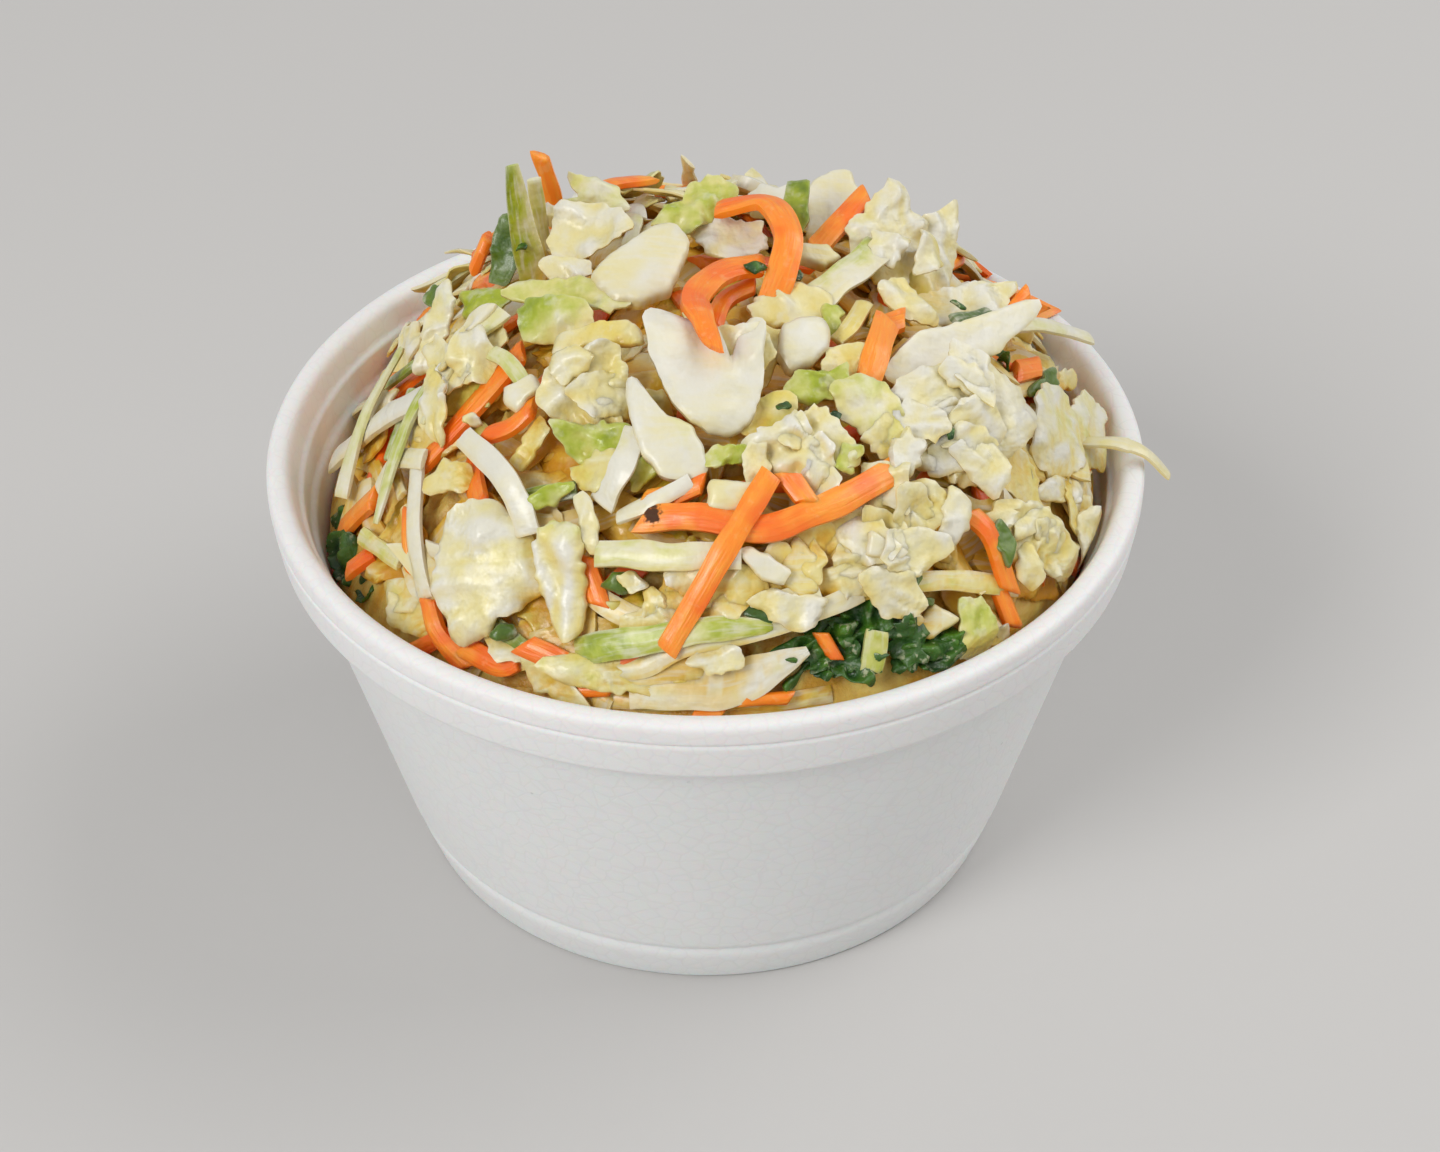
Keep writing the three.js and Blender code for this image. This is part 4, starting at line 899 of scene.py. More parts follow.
laid_shreds = [
    dict(route=[(-23, 10, 78), (-23.7, 10.5, 86), (-25, 11, 96)], wide=3.6, facing=(0.3, -1, 0.3),
         pointed=0.5, green=0.34, green_end=0.5, green_side=0.15, thick=0.9, tone=0),
    dict(route=[(-21.5, 16, 78), (-22, 16, 85), (-22.5, 16, 91)], wide=2, facing=(0.3, -1, 0.3),
         green=0.3),
    dict(route=[(-30, -21.5, 76.5), (-25, -30, 77), (-22.5, -33.5, 75), (-21.5, -36, 72)],
         wide=3.1, green=0, tone=0.05),
    dict(route=[(-36.5, -17.5, 70), (-36.5, -26, 65), (-35, -33, 59.5)], wide=2.4, tone=0.1),
    dict(route=[(-33, -12, 77.5), (-41.5, -6.5, 68.5), (-50.5, 2, 55)], wide=3.4, tone=0.02,
         green=0, thick=1.4),
    dict(route=[(-35.5, -19, 71), (-39.5, -15.5, 68), (-42, -16.5, 64)], wide=2.9, green=0),
    dict(route=[(-44.5, -18.5, 58.5), (-38.5, -27.5, 61)], wide=2.2, green=0.3, tone=0.5),
    dict(route=[(-40, -14, 65.5), (-38.5, -20, 66)], wide=1.7, green=0, tone=0.4),
    dict(route=[(-8, -29, 83), (-10, -33.5, 80), (-12.5, -35, 76)], wide=3.3, tone=0.05),
    dict(route=[(-1.5, -35.5, 80), (-6, -37, 78), (-10.5, -37, 75.5)], wide=2.1, twist=60,
         green=0, tone=0.05),
    dict(route=[(-13, -40, 72.5), (-4, -42.5, 74), (4.5, -43, 74.5)], wide=3.3, green=0.28,
         green_end=0.1, thick=1.6),
    dict(route=[(-17.5, -47, 59), (-7.5, -49, 62), (-0.5, -48.5, 65.5), (9, -47, 67),
                (19, -42.5, 68.5)], wide=2.4, tone=0.15),
    dict(route=[(-9, -49.5, 59.5), (-0.5, -50.5, 60.5), (6.5, -50, 61.5), (12.5, -48, 64)],
         wide=5.8, tone=0.02, rough=0.03, pointed=0.8),
    dict(route=[(-17, -46.5, 60.5), (-9, -48.5, 61.5), (0, -49, 62.5)], wide=4.2, tone=0.35),
    dict(route=[(3, -46.5, 67), (8, -46, 68.5), (14, -44, 69.5)], wide=3.6, tone=0.3),
    dict(route=[(-14.5, -48.5, 57), (-7.5, -50, 57.5), (-0.5, -50.7, 58)], wide=2.1, tone=0.3,
         green_end=0.4),
    dict(route=[(2.5, -50.7, 58), (9, -50, 57.5), (15.5, -48.5, 57.5)], wide=2.1, tone=0.5,
         green=0.25),
    dict(route=[(20, -48, 60.5), (21, -45, 64.5)], wide=2.9, green=0.4, tone=0.4),
    dict(route=[(19, -42, 68.5), (29, -38, 66.5), (39, -33, 61.5)], wide=2.6, tone=0.5,
         green=0.2),
    dict(route=[(13.5, -5, 85.5), (18.5, 1, 86), (23, 8, 85.5)], wide=4.3, green=0.1,
         green_end=0.35, green_side=0.25),
    dict(route=[(16.5, -12.5, 84.5), (18.5, -10.5, 85.5), (20.5, -3, 84)], wide=2.2, tone=0.7),
    dict(route=[(40, 4, 76), (46, 8, 73), (52, 11, 69)], wide=2.4, green=0.2, tone=0.1),
    dict(route=[(49, -4, 62.6), (54, -5, 63.2), (58, -5.5, 62.2), (61.5, -6, 58.5)], wide=2.6,
         pointed=0.4, tone=0.3, green=0.1),
    dict(route=[(-26, -41, 62), (-22, -44.5, 61)], wide=2.6, green=0.7),
    dict(route=[(-22, -31.5, 74), (-15.5, -32, 76)], wide=2.4, green=0.7),
    dict(route=[(-15.5, -46.5, 62.5), (-7.5, -48, 65.5), (2, -48.5, 67.5), (10.5, -47, 66.5)],
         wide=3.6, pointed=0.8, green=0.5, green_end=0.4, thick=1),
    dict(route=[(-38, -5, 72), (-41, -12.5, 66)], wide=1.7, green=0.6),
    dict(route=[(-38, 0, 72.5), (-44.5, 5, 64)], wide=1.9, green=0.6),
    dict(route=[(-27, -10.5, 81.5), (-25, -13, 82), (-22.5, -17, 81)], wide=2.1, green=0.35),
    dict(route=[(39, -10.5, 74.5), (43.5, -11, 70.5)], wide=2.1, pointed=0.6, tone=0.1),
    dict(route=[(-33.5, -7, 78), (-38.5, -14, 71.5), (-42, -22, 63)], wide=2.4, green=0.5,
         green_end=0.35, pointed=0.5),
    dict(route=[(-26, -3, 83), (-32, -8, 79), (-36, -15, 73.5)], wide=3.2, green=0.2, tone=0.2,
         twist=40, pointed=0.4),
    dict(route=[(-40, 3, 73), (-45, -3, 66), (-48, -10, 58)], wide=2.6, green=0.3, tone=0.2,
         twist=-40),
    dict(route=[(32, -2.5, 81), (38, 6, 76.5)], wide=1.9, green=0.9),
    dict(route=[(44, -12, 66.5), (50, -9.5, 62.5)], wide=3.9, tone=0.5, green=0.1),
]

shreds = Tray("cabbage_shreds", 37)
for strip in laid_shreds:
    shred(shreds, **{"thick": 1, **strip})


def loose_shred(tray, at, facing, wide, thick, **more):
    """A shred with a slight bow, lying at a place, for the pieces that are strewn."""
    half = tray.between(4, 10)
    right = rightward(facing)
    turn = tray.between(0, 2 * math.pi)
    forward = right * math.cos(turn) + np.cross(facing, right) * math.sin(turn)
    middle = at + 0.8 * facing
    bow = np.cross(facing, forward) * tray.between(-3, 3)
    route = [middle - half * forward - facing, middle + bow, middle + half * forward - facing]
    shred(tray, route, wide, thick, facing=facing, twist=tray.between(-50, 50),
          slant=tray.between(-0.6, 0.6), **more)


for at, facing, _ in strewn(shreds, chain(heap_places(2, 6, 8), foot_places(1, 4))):
    loose_shred(shreds, at, facing, shreds.between(2, 4.4), shreds.between(0.7, 1.2),
                tone=shreds.between(0, 0.35), green=shreds.between(-0.3, 0.4), rough=0.09,
                pointed=shreds.between(0, 0.7))

shown("cabbage_shreds", shreds.mesh(), cabbage_paint("cabbage_shred", mottle=0.6, veins=0.4),
      crease=50)


# ---- Green cabbage leaf --------------------------------------------------------------
# Pieces of the thin outer leaves, light green with paler veins, waved, crinkled or folded.

laid_leaves = [
    dict(at=(-14.5, 21.5, 85), facing=(0.1, -0.5, 0.9), thick=0.7, green=0.3, tone=0.1,
         outline=[(-4, 3), (3, 1.5), (4.5, -2.5), (0.5, -2.5), (-2.5, -1.5)]),
    dict(at=(-1, 12.5, 89), facing=(0, -0.4, 0.9), green=0.4, tone=0.4, crinkle=1, fold=2.4,
         outline=[(-6.5, -2.5), (-4, 0), (-2, 1), (-1, 3), (1.5, 4.5), (3.5, 4.5), (5, 2),
                  (2.5, -2.5), (-1.5, -5)]),
    dict(at=(12, 12.5, 88.5), facing=(-0.2, -0.6, 0.8), long=9, wide=4, turn=80, green=0.6,
         ragged=0.15),
    dict(at=(24.5, 10.5, 85.5), facing=(0.3, -0.6, 0.7), tone=0.1, crinkle=1, fold=3,
         greener=(-0.4, -0.3), green=0.05, thick=0.8, dish=(-4, 0),
         outline=[(-6, 1), (-2.5, 5.5), (0.5, 8), (2, 7), (3, 3), (5.5, 3), (5, 0),
                  (3, -4), (1, -8), (-1.5, -6.5), (-4.5, -4.5)]),
    dict(at=(30, 11.5, 82), facing=(0.4, -0.6, 0.7), tone=0.1, crinkle=1, fold=3, green=0.12,
         greener=(-0.5, -0.2), thick=0.8, dish=(-5, 0),
         outline=[(-6.5, -4.5), (-3.5, 1.5), (-0.5, 5.5), (2.5, 6.5), (4, 8.5), (4.5, 5), (4, 0.5),
                  (2.5, -5), (-2.5, -7)]),
    dict(at=(16, -9, 85.5), facing=(0, -0.4, 0.9), long=4.5, wide=3, turn=90, green=0.4),
    dict(at=(33, 5, 78.5), facing=(0.4, -0.3, 0.9), thick=1, green=0.05, tone=0.1,
         outline=[(-8.5, -2), (-4.5, 1), (3, 4.5), (9.5, 6), (6.5, 0.5), (-1, -3.5),
                  (-6.5, -5)]),
    dict(at=(44.5, -1, 70), facing=(0.6, -0.4, 0.7), long=7, wide=3.5, turn=40, green=0.8),
    dict(at=(28, -23.5, 79.2), facing=(0.2, -0.6, 0.8), long=5, wide=4, green=0.45),
    dict(at=(45.5, -8.5, 68), facing=(0.7, -0.4, 0.6), green=0.15, tone=0.1, wave=1.2, crinkle=0.4,
         ruffle=0, greener=(0, 0.2),
         outline=[(-5, 3), (-0.5, 6.5), (4.5, 6.5), (6.5, 3), (5.5, -3.5), (-0.5, -7.5),
                  (-4.5, -6.5), (-6, -3)]),
    dict(at=(52, -0.5, 61.5), facing=(0.8, -0.3, 0.5), green=0.2, tone=0.1, crinkle=0.4, ruffle=0,
         outline=[(-7, 1.5), (-1, 6), (5, 4.5), (7, 0), (1, -5), (-4.5, -6.5)]),
    dict(at=(14.5, -22, 84.5), facing=(0.1, -0.6, 0.8), green=0.45, tone=0.3,
         outline=[(-5, -2), (-3.5, 1.5), (0, 1.5), (3, 3), (4, 0), (2, -2), (-1.5, -2.5)]),
    dict(at=(17.5, -32, 80.5), facing=(0.2, -0.7, 0.7), long=4.5, wide=3.5, turn=60, green=0.4),
    dict(at=(2.5, -33, 81.5), facing=(0, -0.7, 0.7), long=6, wide=4, green=0.4, tone=0.4),
    dict(at=(47, -14.5, 62.5), facing=(0.8, -0.3, 0.5), long=20, wide=5, turn=15, tone=0.12),
    dict(at=(37, -32, 68), facing=(0.6, -0.6, 0.6), green=0.75, thick=1.2, crinkle=0.2,
         outline=[(-2, 1.5), (-0.5, 2.5), (1, 1.5), (1.5, -1), (0.5, -3), (-1, -1.5)]),
    dict(at=(-10, -42, 69.5), facing=(-0.1, -0.7, 0.7), long=5, wide=2.4, green=0.8),
    dict(at=(7, -46, 68), facing=(0, -0.8, 0.7), long=6, wide=2.4, turn=-15, green=1.1),
    dict(at=(1.5, -50, 64.5), facing=(0, -0.8, 0.6), long=8, wide=4.5, turn=15, tone=0.15,
         green=0.1),
    dict(at=(-10.5, -49, 61), facing=(-0.1, -0.8, 0.6), long=18, wide=4.5, turn=-4, tone=0.35,
         green=0.2),
    dict(at=(-19, -33.5, 76), facing=(-0.1, -0.7, 0.7), long=6.5, wide=2.5, turn=25, green=0.5),
    dict(at=(-24.5, -43, 62.5), facing=(-0.2, -0.8, 0.6), long=3.5, wide=2, turn=20, green=0.9),
    dict(at=(-35, 1, 77), facing=(-0.4, -0.6, 0.7), tone=0.1, green=0.12, greener=(0.3, 0),
         thick=1, dish=(2, 0),
         outline=[(-3, -5), (-2, -0.5), (-0.5, 3.5), (0.5, 6), (1.5, 7), (3, 4), (2, 0),
                  (0.5, -5.5)]),
    dict(at=(-40.5, 12, 67), facing=(-0.7, -0.2, 0.6), long=8, wide=6, turn=70, tone=0.2),
    dict(at=(-29, -8, 80), facing=(-0.4, -0.5, 0.7), long=11, wide=5, turn=45, tone=0.4,
         wave=1.2, thick=1),
    dict(at=(-32, -5.5, 79.5), facing=(-0.6, -0.3, 0.7), long=14, wide=4.5, turn=38, tone=0.1,
         wave=1.8, thick=1),
    dict(at=(-31.5, -12, 76), facing=(-0.5, -0.5, 0.7), long=13, wide=5, turn=-3, green=0.3,
         tone=0.4, wave=1, crinkle=1),
    dict(at=(-35, -15.5, 71), facing=(-0.5, -0.5, 0.7), long=9, wide=6, tone=0.4),
    dict(at=(-29, -19.5, 77.5), facing=(-0.2, -0.6, 0.7), long=3, wide=2, tone=0.1),
    dict(at=(-19, -9, 86), facing=(-0.2, -0.6, 0.8), green=0.36, greener=(-0.3, 0.3), tone=0.3,
         thick=0.9, wave=1, dish=(-4, 0), ragged=0.3, crinkle=1,
         outline=[(-5.5, 1.5), (-4, 3), (1, 3), (4.5, 2), (5, -0.5), (3, -2.5), (-1, -3),
                  (-4.5, -2.5)]),
    dict(at=(-17, -3, 85.5), facing=(-0.1, -0.4, 0.9), green=0.3, tone=0.3, thick=0.9, wave=1,
         outline=[(-9.5, 1), (-7.5, 2.5), (-1.5, 3), (5, 1), (9, -2), (5, -4), (0.5, -1.5),
                  (-4.5, -1)]),
    dict(at=(-29, 3, 80.5), facing=(-0.4, -0.4, 0.8), long=8, wide=4.5, green=0.5),
    dict(at=(-26.5, 13.5, 81.5), facing=(-0.2, -0.7, 0.7), long=11, wide=4, turn=75, green=0.85,
         ragged=0.15, ruffle=0),
    dict(at=(-36.5, 13, 75), facing=(-0.4, -0.5, 0.7), long=4, wide=2.5, turn=80, green=0.8),
    dict(at=(-13, -28.5, 80.5), facing=(-0.1, -0.7, 0.7), green=0.45, tone=0.3, wave=1,
         outline=[(-6, 3), (-1.5, 2), (1, 3), (4.5, 2), (3.5, -2.5), (-1, -3.5), (-4, -0.5)]),
    dict(at=(-14.5, -30.5, 77), facing=(-0.1, -0.7, 0.7), long=4.5, wide=2.5, green=0.6),
    dict(at=(-7.5, -32.5, 79), facing=(-0.1, -0.7, 0.7), long=5, wide=3, turn=50, green=0.5),
    dict(at=(24.5, -39.5, 67.5), facing=(0.3, -0.7, 0.6), long=5.5, wide=2.5, turn=20, green=0.85),
    dict(at=(27, -40, 65), facing=(0.3, -0.7, 0.6), long=3.5, wide=2, green=0.8),
    dict(at=(33.5, -40.5, 60.5), facing=(0.4, -0.7, 0.6), green=0.3, tone=0.4, greener=(0, 0.3),
         outline=[(-2.5, -1), (-2.5, 4), (1, 4), (3, 1), (3.5, -0.5), (2, -3), (-1, -4),
                  (-2.5, -3.5)]),
    dict(at=(29.5, -42, 58), facing=(0.3, -0.7, 0.6), long=5, wide=4, turn=60, green=0.8),
]

leaves = Tray("green_leaves", 41)
for piece in laid_leaves:
    leaf(leaves, **{"crinkle": 0.7, "ruffle": 0.25, **piece})
for at, facing, back in strewn(leaves, chain(heap_places(4, 9), foot_places(2))):
    leaf(leaves, at, facing, long=leaves.between(6, 12), wide=leaves.between(3.5, 7),
         turn=leaves.between(0, 360), slab=small_slab if back > 0.5 else middle_slab, thick=0.7,
         ragged=0.5, wave=leaves.between(0.6, 1.5), crinkle=0.6, tone=leaves.between(0.2, 0.5),
         green=leaves.between(-0.1, 0.45), dish=(leaves.between(-3, 3), leaves.between(-3, 3)))

shown("green_leaves", leaves.mesh(), cabbage_paint("cabbage_leaf"), crease=50)


# ---- Carrot shreds -------------------------------------------------------------------
# Coarse sticks from a shredder, square in section and slightly bowed. One has a dark spot.

CARROT = (1.0, 0.24, 0.004, 1)
CARROT_PALE = (0.98, 0.36, 0.035, 1)
CARROT_RED = (0.90, 0.13, 0.003, 1)
CARROT_GAP_SHADE = (0.95, 0.62, 0.3, 1)
CARROT_FILM = (0.95, 0.60, 0.30, 1)
SPOT = (0.03, 0.012, 0.004, 1)
SPOT_PLACE = (-6.0, -38.5, 77)
SPOT_RADIUS = 1.3

laid_carrots = [
    dict(route=[(-20, 22, 78), (-20.5, 21.5, 85), (-22, 20.5, 92)], wide=2.2, facing=(0, -1, 0.3)),
    dict(route=[(1.5, 10, 90), (8, 9, 91.5), (10.5, 2, 91.5), (10, -2.5, 89), (8, -6.5, 85.5)],
         wide=3.8, slant=0),
    dict(route=[(7.5, -1, 88.5), (2.5, -5, 90), (-1, -12, 91), (-0.2, -18, 91.5), (1.3, -23.5, 91)],
         wide=3.7, pointed=0.5),
    dict(route=[(6.5, -2.5, 86.5), (2.5, -5.5, 86), (1, -10.5, 85.5)], wide=2.4),
    dict(route=[(14, 8, 84.5), (18, 13, 86.5), (21.5, 17, 88)], wide=3),
    dict(route=[(20, -19.5, 83), (21.5, -15.5, 85), (23, -8.5, 85)], wide=3.4),
    dict(route=[(21.5, -8.5, 83.5), (25.5, -6, 83.5)], wide=3.5),
    dict(route=[(22, -22, 80), (21.5, -19, 81.5)], wide=1.6),
    dict(route=[(32.5, -30.5, 71.5), (35.5, -32, 68.5), (38, -34.5, 62)], wide=2.7),
    dict(route=[(36.5, -34, 62.5), (38.5, -36.5, 58)], wide=2.4),
    dict(route=[(-7.5, -38.5, 76.5), (-0.5, -39.5, 77.5), (6.5, -40.5, 76.5), (12.5, -39, 77.5),
                (18, -35.5, 78), (24.5, -29.5, 78)], wide=3.4),
    dict(route=[(8, -36, 81.5), (2, -44, 75), (-4.5, -49.5, 65)], wide=2.9, slant=0.08),
    dict(route=[(10, -35, 80.5), (12.5, -38, 78.5)], wide=2.6),
    dict(route=[(-23, -9.5, 81), (-28.5, -14, 76.5), (-35.5, -17.5, 69.5)], wide=3),
    dict(route=[(-21, -21.5, 81), (-24, -22.5, 78.5), (-27.5, -21.5, 76.5)], wide=2.4),
    dict(route=[(-37.5, -22, 65.5), (-37.5, -25.5, 63.5), (-37, -29, 60.5)], wide=1.4),
    dict(route=[(-34.5, -34, 60.5), (-33, -38, 58), (-29, -42.5, 56.5)], wide=2.4),
    dict(route=[(-29.5, -41, 58.5), (-25, -44.5, 58.5), (-22.5, -45, 60)], wide=2.9),
    dict(route=[(-22, -44.5, 62), (-15.5, -48, 61)], wide=3),
    dict(route=[(-14.5, -38.5, 71), (-12.5, -43.5, 67)], wide=2.7),
    dict(route=[(-42.5, -15.5, 62.5), (-48, -11, 53.5)], wide=3.2),
    dict(route=[(-3.5, -36, 78), (0, -35.5, 79.5)], wide=2.2),
    dict(route=[(-7.5, -36, 77.5), (-1.5, -35.5, 78.5)], wide=2.1),
    dict(route=[(-15.5, -48.5, 58), (-11, -49.5, 59)], wide=1.8),
    dict(route=[(-1.5, -52, 57), (2.5, -52, 57.5)], wide=1.4),
    dict(route=[(4.5, -51.5, 59), (10.5, -50.5, 58.5)], wide=1.6),
    dict(route=[(14, -46, 65), (16, -47.5, 62)], wide=1.6),
    dict(route=[(39.5, 7, 75), (43, 11, 76.5)], wide=1.8),
    dict(route=[(40.5, -2, 72.5), (44, 1.5, 71)], wide=3),
    dict(route=[(-46, -22.5, 55.5), (-42.5, -20, 57)], wide=3),
    dict(route=[(-31, 14, 78), (-29, 16, 82)], wide=1.9),
]

carrots = Tray("carrot_shreds", 53)
for stick in laid_carrots:
    shred(carrots, **{"thick": 1.7, "rough": 0.03, "slant": 0.35, **stick})
for at, facing, _ in strewn(carrots, chain(heap_places(7), foot_places(5))):
    loose_shred(carrots, at, facing, carrots.between(1.8, 3), carrots.between(1.2, 1.9), rough=0.03)


def carrot_paint():
    """Orange flesh with fine grooves along the cut, a film of dressing, the dark spot and painted
    shade in the gaps.
    """
    root = Paint("carrot", Subsurface_Weight=0.4, Subsurface_Scale=0.001,
                 Subsurface_Radius=(1.0, 0.35, 0.1), Coat_Roughness=0.16)
    grain = root.look("grain", "Vector")
    fibres = root.node("ShaderNodeMapping", {}, {"Vector": grain, "Scale": (0.12, 1, 1)})
    streaks = root.blotches(0.7, detail=2, place=fibres)
    ribs_across = root.node("ShaderNodeMapping", {}, {"Vector": grain, "Scale": (1, 0.15, 1)})
    chatter = root.blotches(0.9, detail=1, place=ribs_across)
    share = 0.5 * streaks.over(0.52, 0.12) + 0.5 * root.look("pick") + 0.3 * chatter - 0.15
    colour = root.mixed(share.clamped(), CARROT, CARROT_PALE)
    colour = root.mixed(0.7 * root.blotches(6).over(0.56, 0.1), colour, CARROT_RED)
    # Painted shade: points far down in the gaps and faces turned down are painted darker.
    colour = root.mixed(root.look("deep"), colour, CARROT_GAP_SHADE, "MULTIPLY")
    film = root.blotches(1.6, detail=3).over(0.66, 0.05)
    colour = root.mixed(0.2 * film, colour, CARROT_FILM)
    centre = tuple(value * MM for value in SPOT_PLACE)
    measure = {"operation": "DISTANCE"}
    away = root.node("ShaderNodeVectorMath", measure, {0: root.place, 1: centre}, out="Value")
    fuzz = 1.8 * MM * (root.blotches(0.7, detail=4) - 0.5)
    spot = 1 - (away + fuzz).over(SPOT_RADIUS * MM, 0.25 * MM)
    root.feed("Base Color", root.mixed(0.95 * spot, colour, SPOT))
    root.feed("Coat Weight", 0.3 - 0.3 * spot)
    root.feed("Roughness", 0.3 + 0.2 * root.blotches(2) + 0.4 * spot)
    grooves = root.relief(streaks, 0.3)
    root.feed("Normal", root.relief(chatter, 0.06, under=grooves))
    return root


shown("carrot_shreds", carrots.mesh(), carrot_paint(), crease=50)


# ---- Curly kale ----------------------------------------------------------------------
# Dark tightly curled bits of kale, at the front right and beside the wall on the left, and
# small flecks of it strewn over the rest.

KALE = (0.012, 0.06, 0.006, 1)
KALE_LIGHT = (0.07, 0.19, 0.01, 1)
KALE_CREAM = (0.50, 0.52, 0.33, 1)

laid_kale = [
    dict(at=(14.5, -46.3, 63), facing=(0.1, -0.7, 0.7), long=11, wide=8),
    dict(at=(17, -46.8, 62), facing=(0.3, -0.6, 0.7), long=10, wide=6),
    dict(at=(12, -47.5, 61.5), facing=(-0.2, -0.7, 0.7), long=8, wide=6, turn=50),
    dict(at=(26.5, -43.5, 60.5), facing=(0.3, -0.6, 0.7), long=12, wide=7, turn=20),
    dict(at=(29, -43, 60.5), facing=(0.4, -0.5, 0.7), long=8, wide=6, turn=60),
    dict(at=(20.5, -44.5, 64), facing=(0.1, -0.8, 0.6), long=11, wide=7),
    dict(at=(24, -43.8, 62.5), facing=(0.4, -0.7, 0.5), long=9, wide=7, turn=-20),
    dict(at=(-48.5, -9, 52), long=10, wide=7, turn=-60),
    dict(at=(-47, -16, 52.5), long=11, wide=6, turn=-60),
    dict(at=(-43.5, -22, 52.5), long=8, wide=5, turn=-50),
    dict(at=(39.2, -0.6, 73.7), long=4, wide=3, turn=-70),
]

# Flecks the size of a grain of rice lie on the pieces under these places.
flecks = [
    (6.5, -4, 90), (-7.5, -25, 84.5), (9.5, -27, 85), (15.5, -27.5, 83.5), (30, -24.5, 79.5),
    (-14, -19.5, 87.5), (12, -1, 87), (33, 2, 80), (-24, 9, 85), (2, 24, 84), (22, 22, 80),
]

kale = Tray("curly_kale", 67)
for tuft in laid_kale:
    leaf(kale, **{"thick": 0.5, "crinkle": 1.6, "fold": 2.2, "wave": 1.4, "ragged": 0.8,
                  "slab": fine_slab, **tuft})
for spot in flecks:
    leaf(kale, spot, long=2.6, wide=1.5, turn=kale.draw.uniform(0, 360), thick=0.5,
         slab=small_slab, crinkle=0.3, fold=1.2, ragged=0.2)


def kale_paint():
    """Deep green leaf with painted light on its curled ridges and lighter random patches, with
    dressing caught in the curls.
    """
    dark = Paint("kale", Coat_Weight=0.25, Coat_Roughness=0.2, Subsurface_Weight=0.1,
                 Subsurface_Scale=0.001)
    # Painted light: the raised ridges of the curls take the lighter green, mixed with random patches.
    share = (dark.look("ridge") * 0.9 + 0.9 * dark.blotches(2) - 0.5).clamped()
    colour = dark.mixed(share, KALE, KALE_LIGHT)
    cream = dark.blotches(1.2, detail=3).over(0.61, 0.04) * (1 - dark.look("deep"))
    dark.feed("Base Color", dark.mixed(0.7 * cream, colour, KALE_CREAM))
    dark.feed("Roughness", 0.3 + 0.25 * dark.blotches(1.5))
    dark.feed("Normal", dark.relief(dark.blotches(0.6, detail=3), 0.25))
    return dark


shown("curly_kale", kale.mesh(), kale_paint())


# ---- Painted shade in the gaps -------------------------------------------------------
# Shade and warm bounced light in the gaps between the pieces are painted on: points that lie far
# under the pieces round them, and faces that turn down, are painted darker and golden. It is
# marked on the pieces' own meshes, by how far a point lies under the tops round it.

CELL = 1.0             # side of a square of the plan in millimetres
REACH = 62             # the plan goes this far each way from the cup's axis
SQUARES = int(2 * REACH / CELL)
TALLEST = 8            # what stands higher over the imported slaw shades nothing
CLEAR_DEPTH = 0.4      # nothing is shaded above this depth, and at the full depth all is
FULL_DEPTH = 4.4
SMOOTHING = 6          # rounds of smoothing


def squares_under(corners):
    """The squares of the plan that points lie over."""
    squares = ((corners[:, :2] + REACH) / CELL).astype(int)
    return tuple(np.clip(squares, 0, SQUARES - 1).T)


def heap_tops(corners):
    """How high the pieces reach over each square of the plan, smoothed over its neighbours."""
    across = (np.arange(SQUARES) + 0.5) * CELL - REACH
    tops = bed_height(*np.meshgrid(across, across, indexing="ij"))
    limit = tops + TALLEST
    np.maximum.at(tops, squares_under(corners), corners[:, 2])
    tops = np.minimum(tops, limit)
    for _ in range(SMOOTHING):
        edged = np.pad(tops, 1, mode="edge")
        tops = (edged[1:-1, 1:-1] + edged[:-2, 1:-1] + edged[2:, 1:-1] + edged[1:-1, :-2]
                + edged[1:-1, 2:]) / 5
    return tops


def read_corners(mesh, what):
    values = np.zeros(3 * len(mesh.vertices), np.float32)
    mesh.vertices.foreach_get(what, values)
    return values.reshape(-1, 3).astype(float)


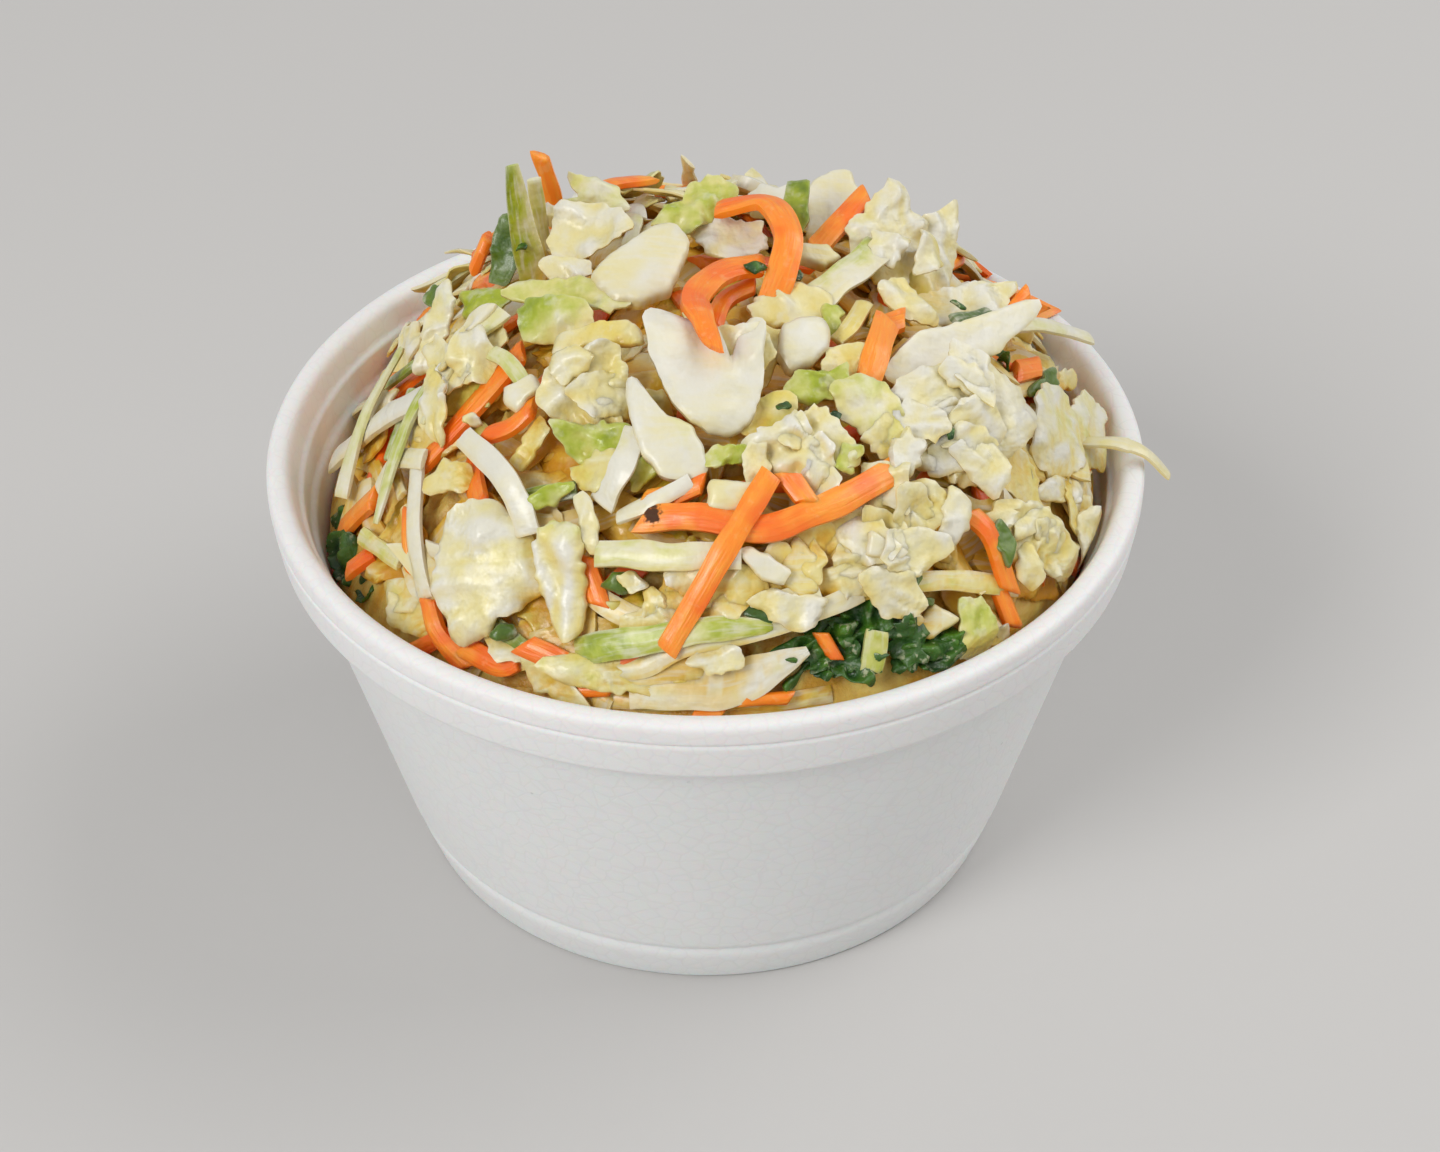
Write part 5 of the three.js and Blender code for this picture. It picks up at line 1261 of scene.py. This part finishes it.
shaded_meshes = [bpy.data.objects[name].data for name in
           ("cabbage_chips", "cabbage_ribs", "cabbage_shreds", "green_leaves", "carrot_shreds",
            "curly_kale")]
tops = heap_tops(np.concatenate([read_corners(mesh, "co") for mesh in shaded_meshes]) / MM)
for mesh in shaded_meshes:
    corners = read_corners(mesh, "co") / MM
    depth = tops[squares_under(corners)] - corners[:, 2]
    # Painted shade: points far under the tops and faces that turn down are marked for it.
    turned_down = np.clip(0.5 - read_corners(mesh, "normal")[:, 2], 0, 1)
    deep = np.clip((depth - CLEAR_DEPTH) / (FULL_DEPTH - CLEAR_DEPTH), 0, 1) + 0.5 * turned_down
    shade_layer = mesh.attributes.new("deep", "FLOAT", "POINT")
    shade_layer.data.foreach_set("value", np.clip(deep, 0, 1).astype(np.float32))


# ---- Floor, light and camera ---------------------------------------------------------
# A plain pale floor, a soft lamp in front on the left, a weaker and broader one on the right,
# and even light from all round.

FLOOR_COLOUR = (0.56, 0.55, 0.54, 1)
FLOOR_REACH = 6
DAYLIGHT = (1.0, 0.995, 0.985)
ROOM_STRENGTH = 0.54
HEAP_MIDDLE = Vector((0, 0, 0.06))
LENS = 72.58
SENSOR = 36
CAMERA_PLACE = (0.00193, -0.3144, 0.2898)
CAMERA_PITCH = math.radians(90 - 38.83)

floor = bmesh.new()
bmesh.ops.create_grid(floor, x_segments=1, y_segments=1, size=FLOOR_REACH)
floor_mesh = bpy.data.meshes.new("floor")
floor.to_mesh(floor_mesh)
floor.free()
floor_piece = bpy.data.objects.new("floor", floor_mesh)
bpy.context.scene.collection.objects.link(floor_piece)
floor_mesh.materials.append(Paint("floor", Roughness=0.6, Base_Color=FLOOR_COLOUR).material)


def lamp(name, place, size, watts):
    """A square soft lamp that faces the heap."""
    data = bpy.data.lights.new(name, "AREA")
    data.size = size
    data.energy = watts
    data.color = DAYLIGHT
    light = bpy.data.objects.new(name, data)
    light.location = place
    light.rotation_euler = (HEAP_MIDDLE - Vector(place)).to_track_quat("-Z", "Y").to_euler()
    bpy.context.scene.collection.objects.link(light)


lamp("window", (-0.7, -0.8, 0.9), 0.5, 8.6)
lamp("side_fill", (0.85, 0.2, 0.9), 0.9, 5.8)

world = bpy.data.worlds.new("room")
bpy.context.scene.world = world
world.use_nodes = True
room_light = world.node_tree.nodes["Background"].inputs
room_light["Color"].default_value = (*DAYLIGHT, 1)
room_light["Strength"].default_value = ROOM_STRENGTH
bpy.context.scene.view_settings.view_transform = "Standard"

camera_data = bpy.data.cameras.new("camera")
camera_data.lens = LENS
camera_data.sensor_width = SENSOR
camera = bpy.data.objects.new("camera", camera_data)
camera.location = CAMERA_PLACE
camera.rotation_euler = (CAMERA_PITCH, 0, 0)
bpy.context.scene.collection.objects.link(camera)
bpy.context.scene.camera = camera
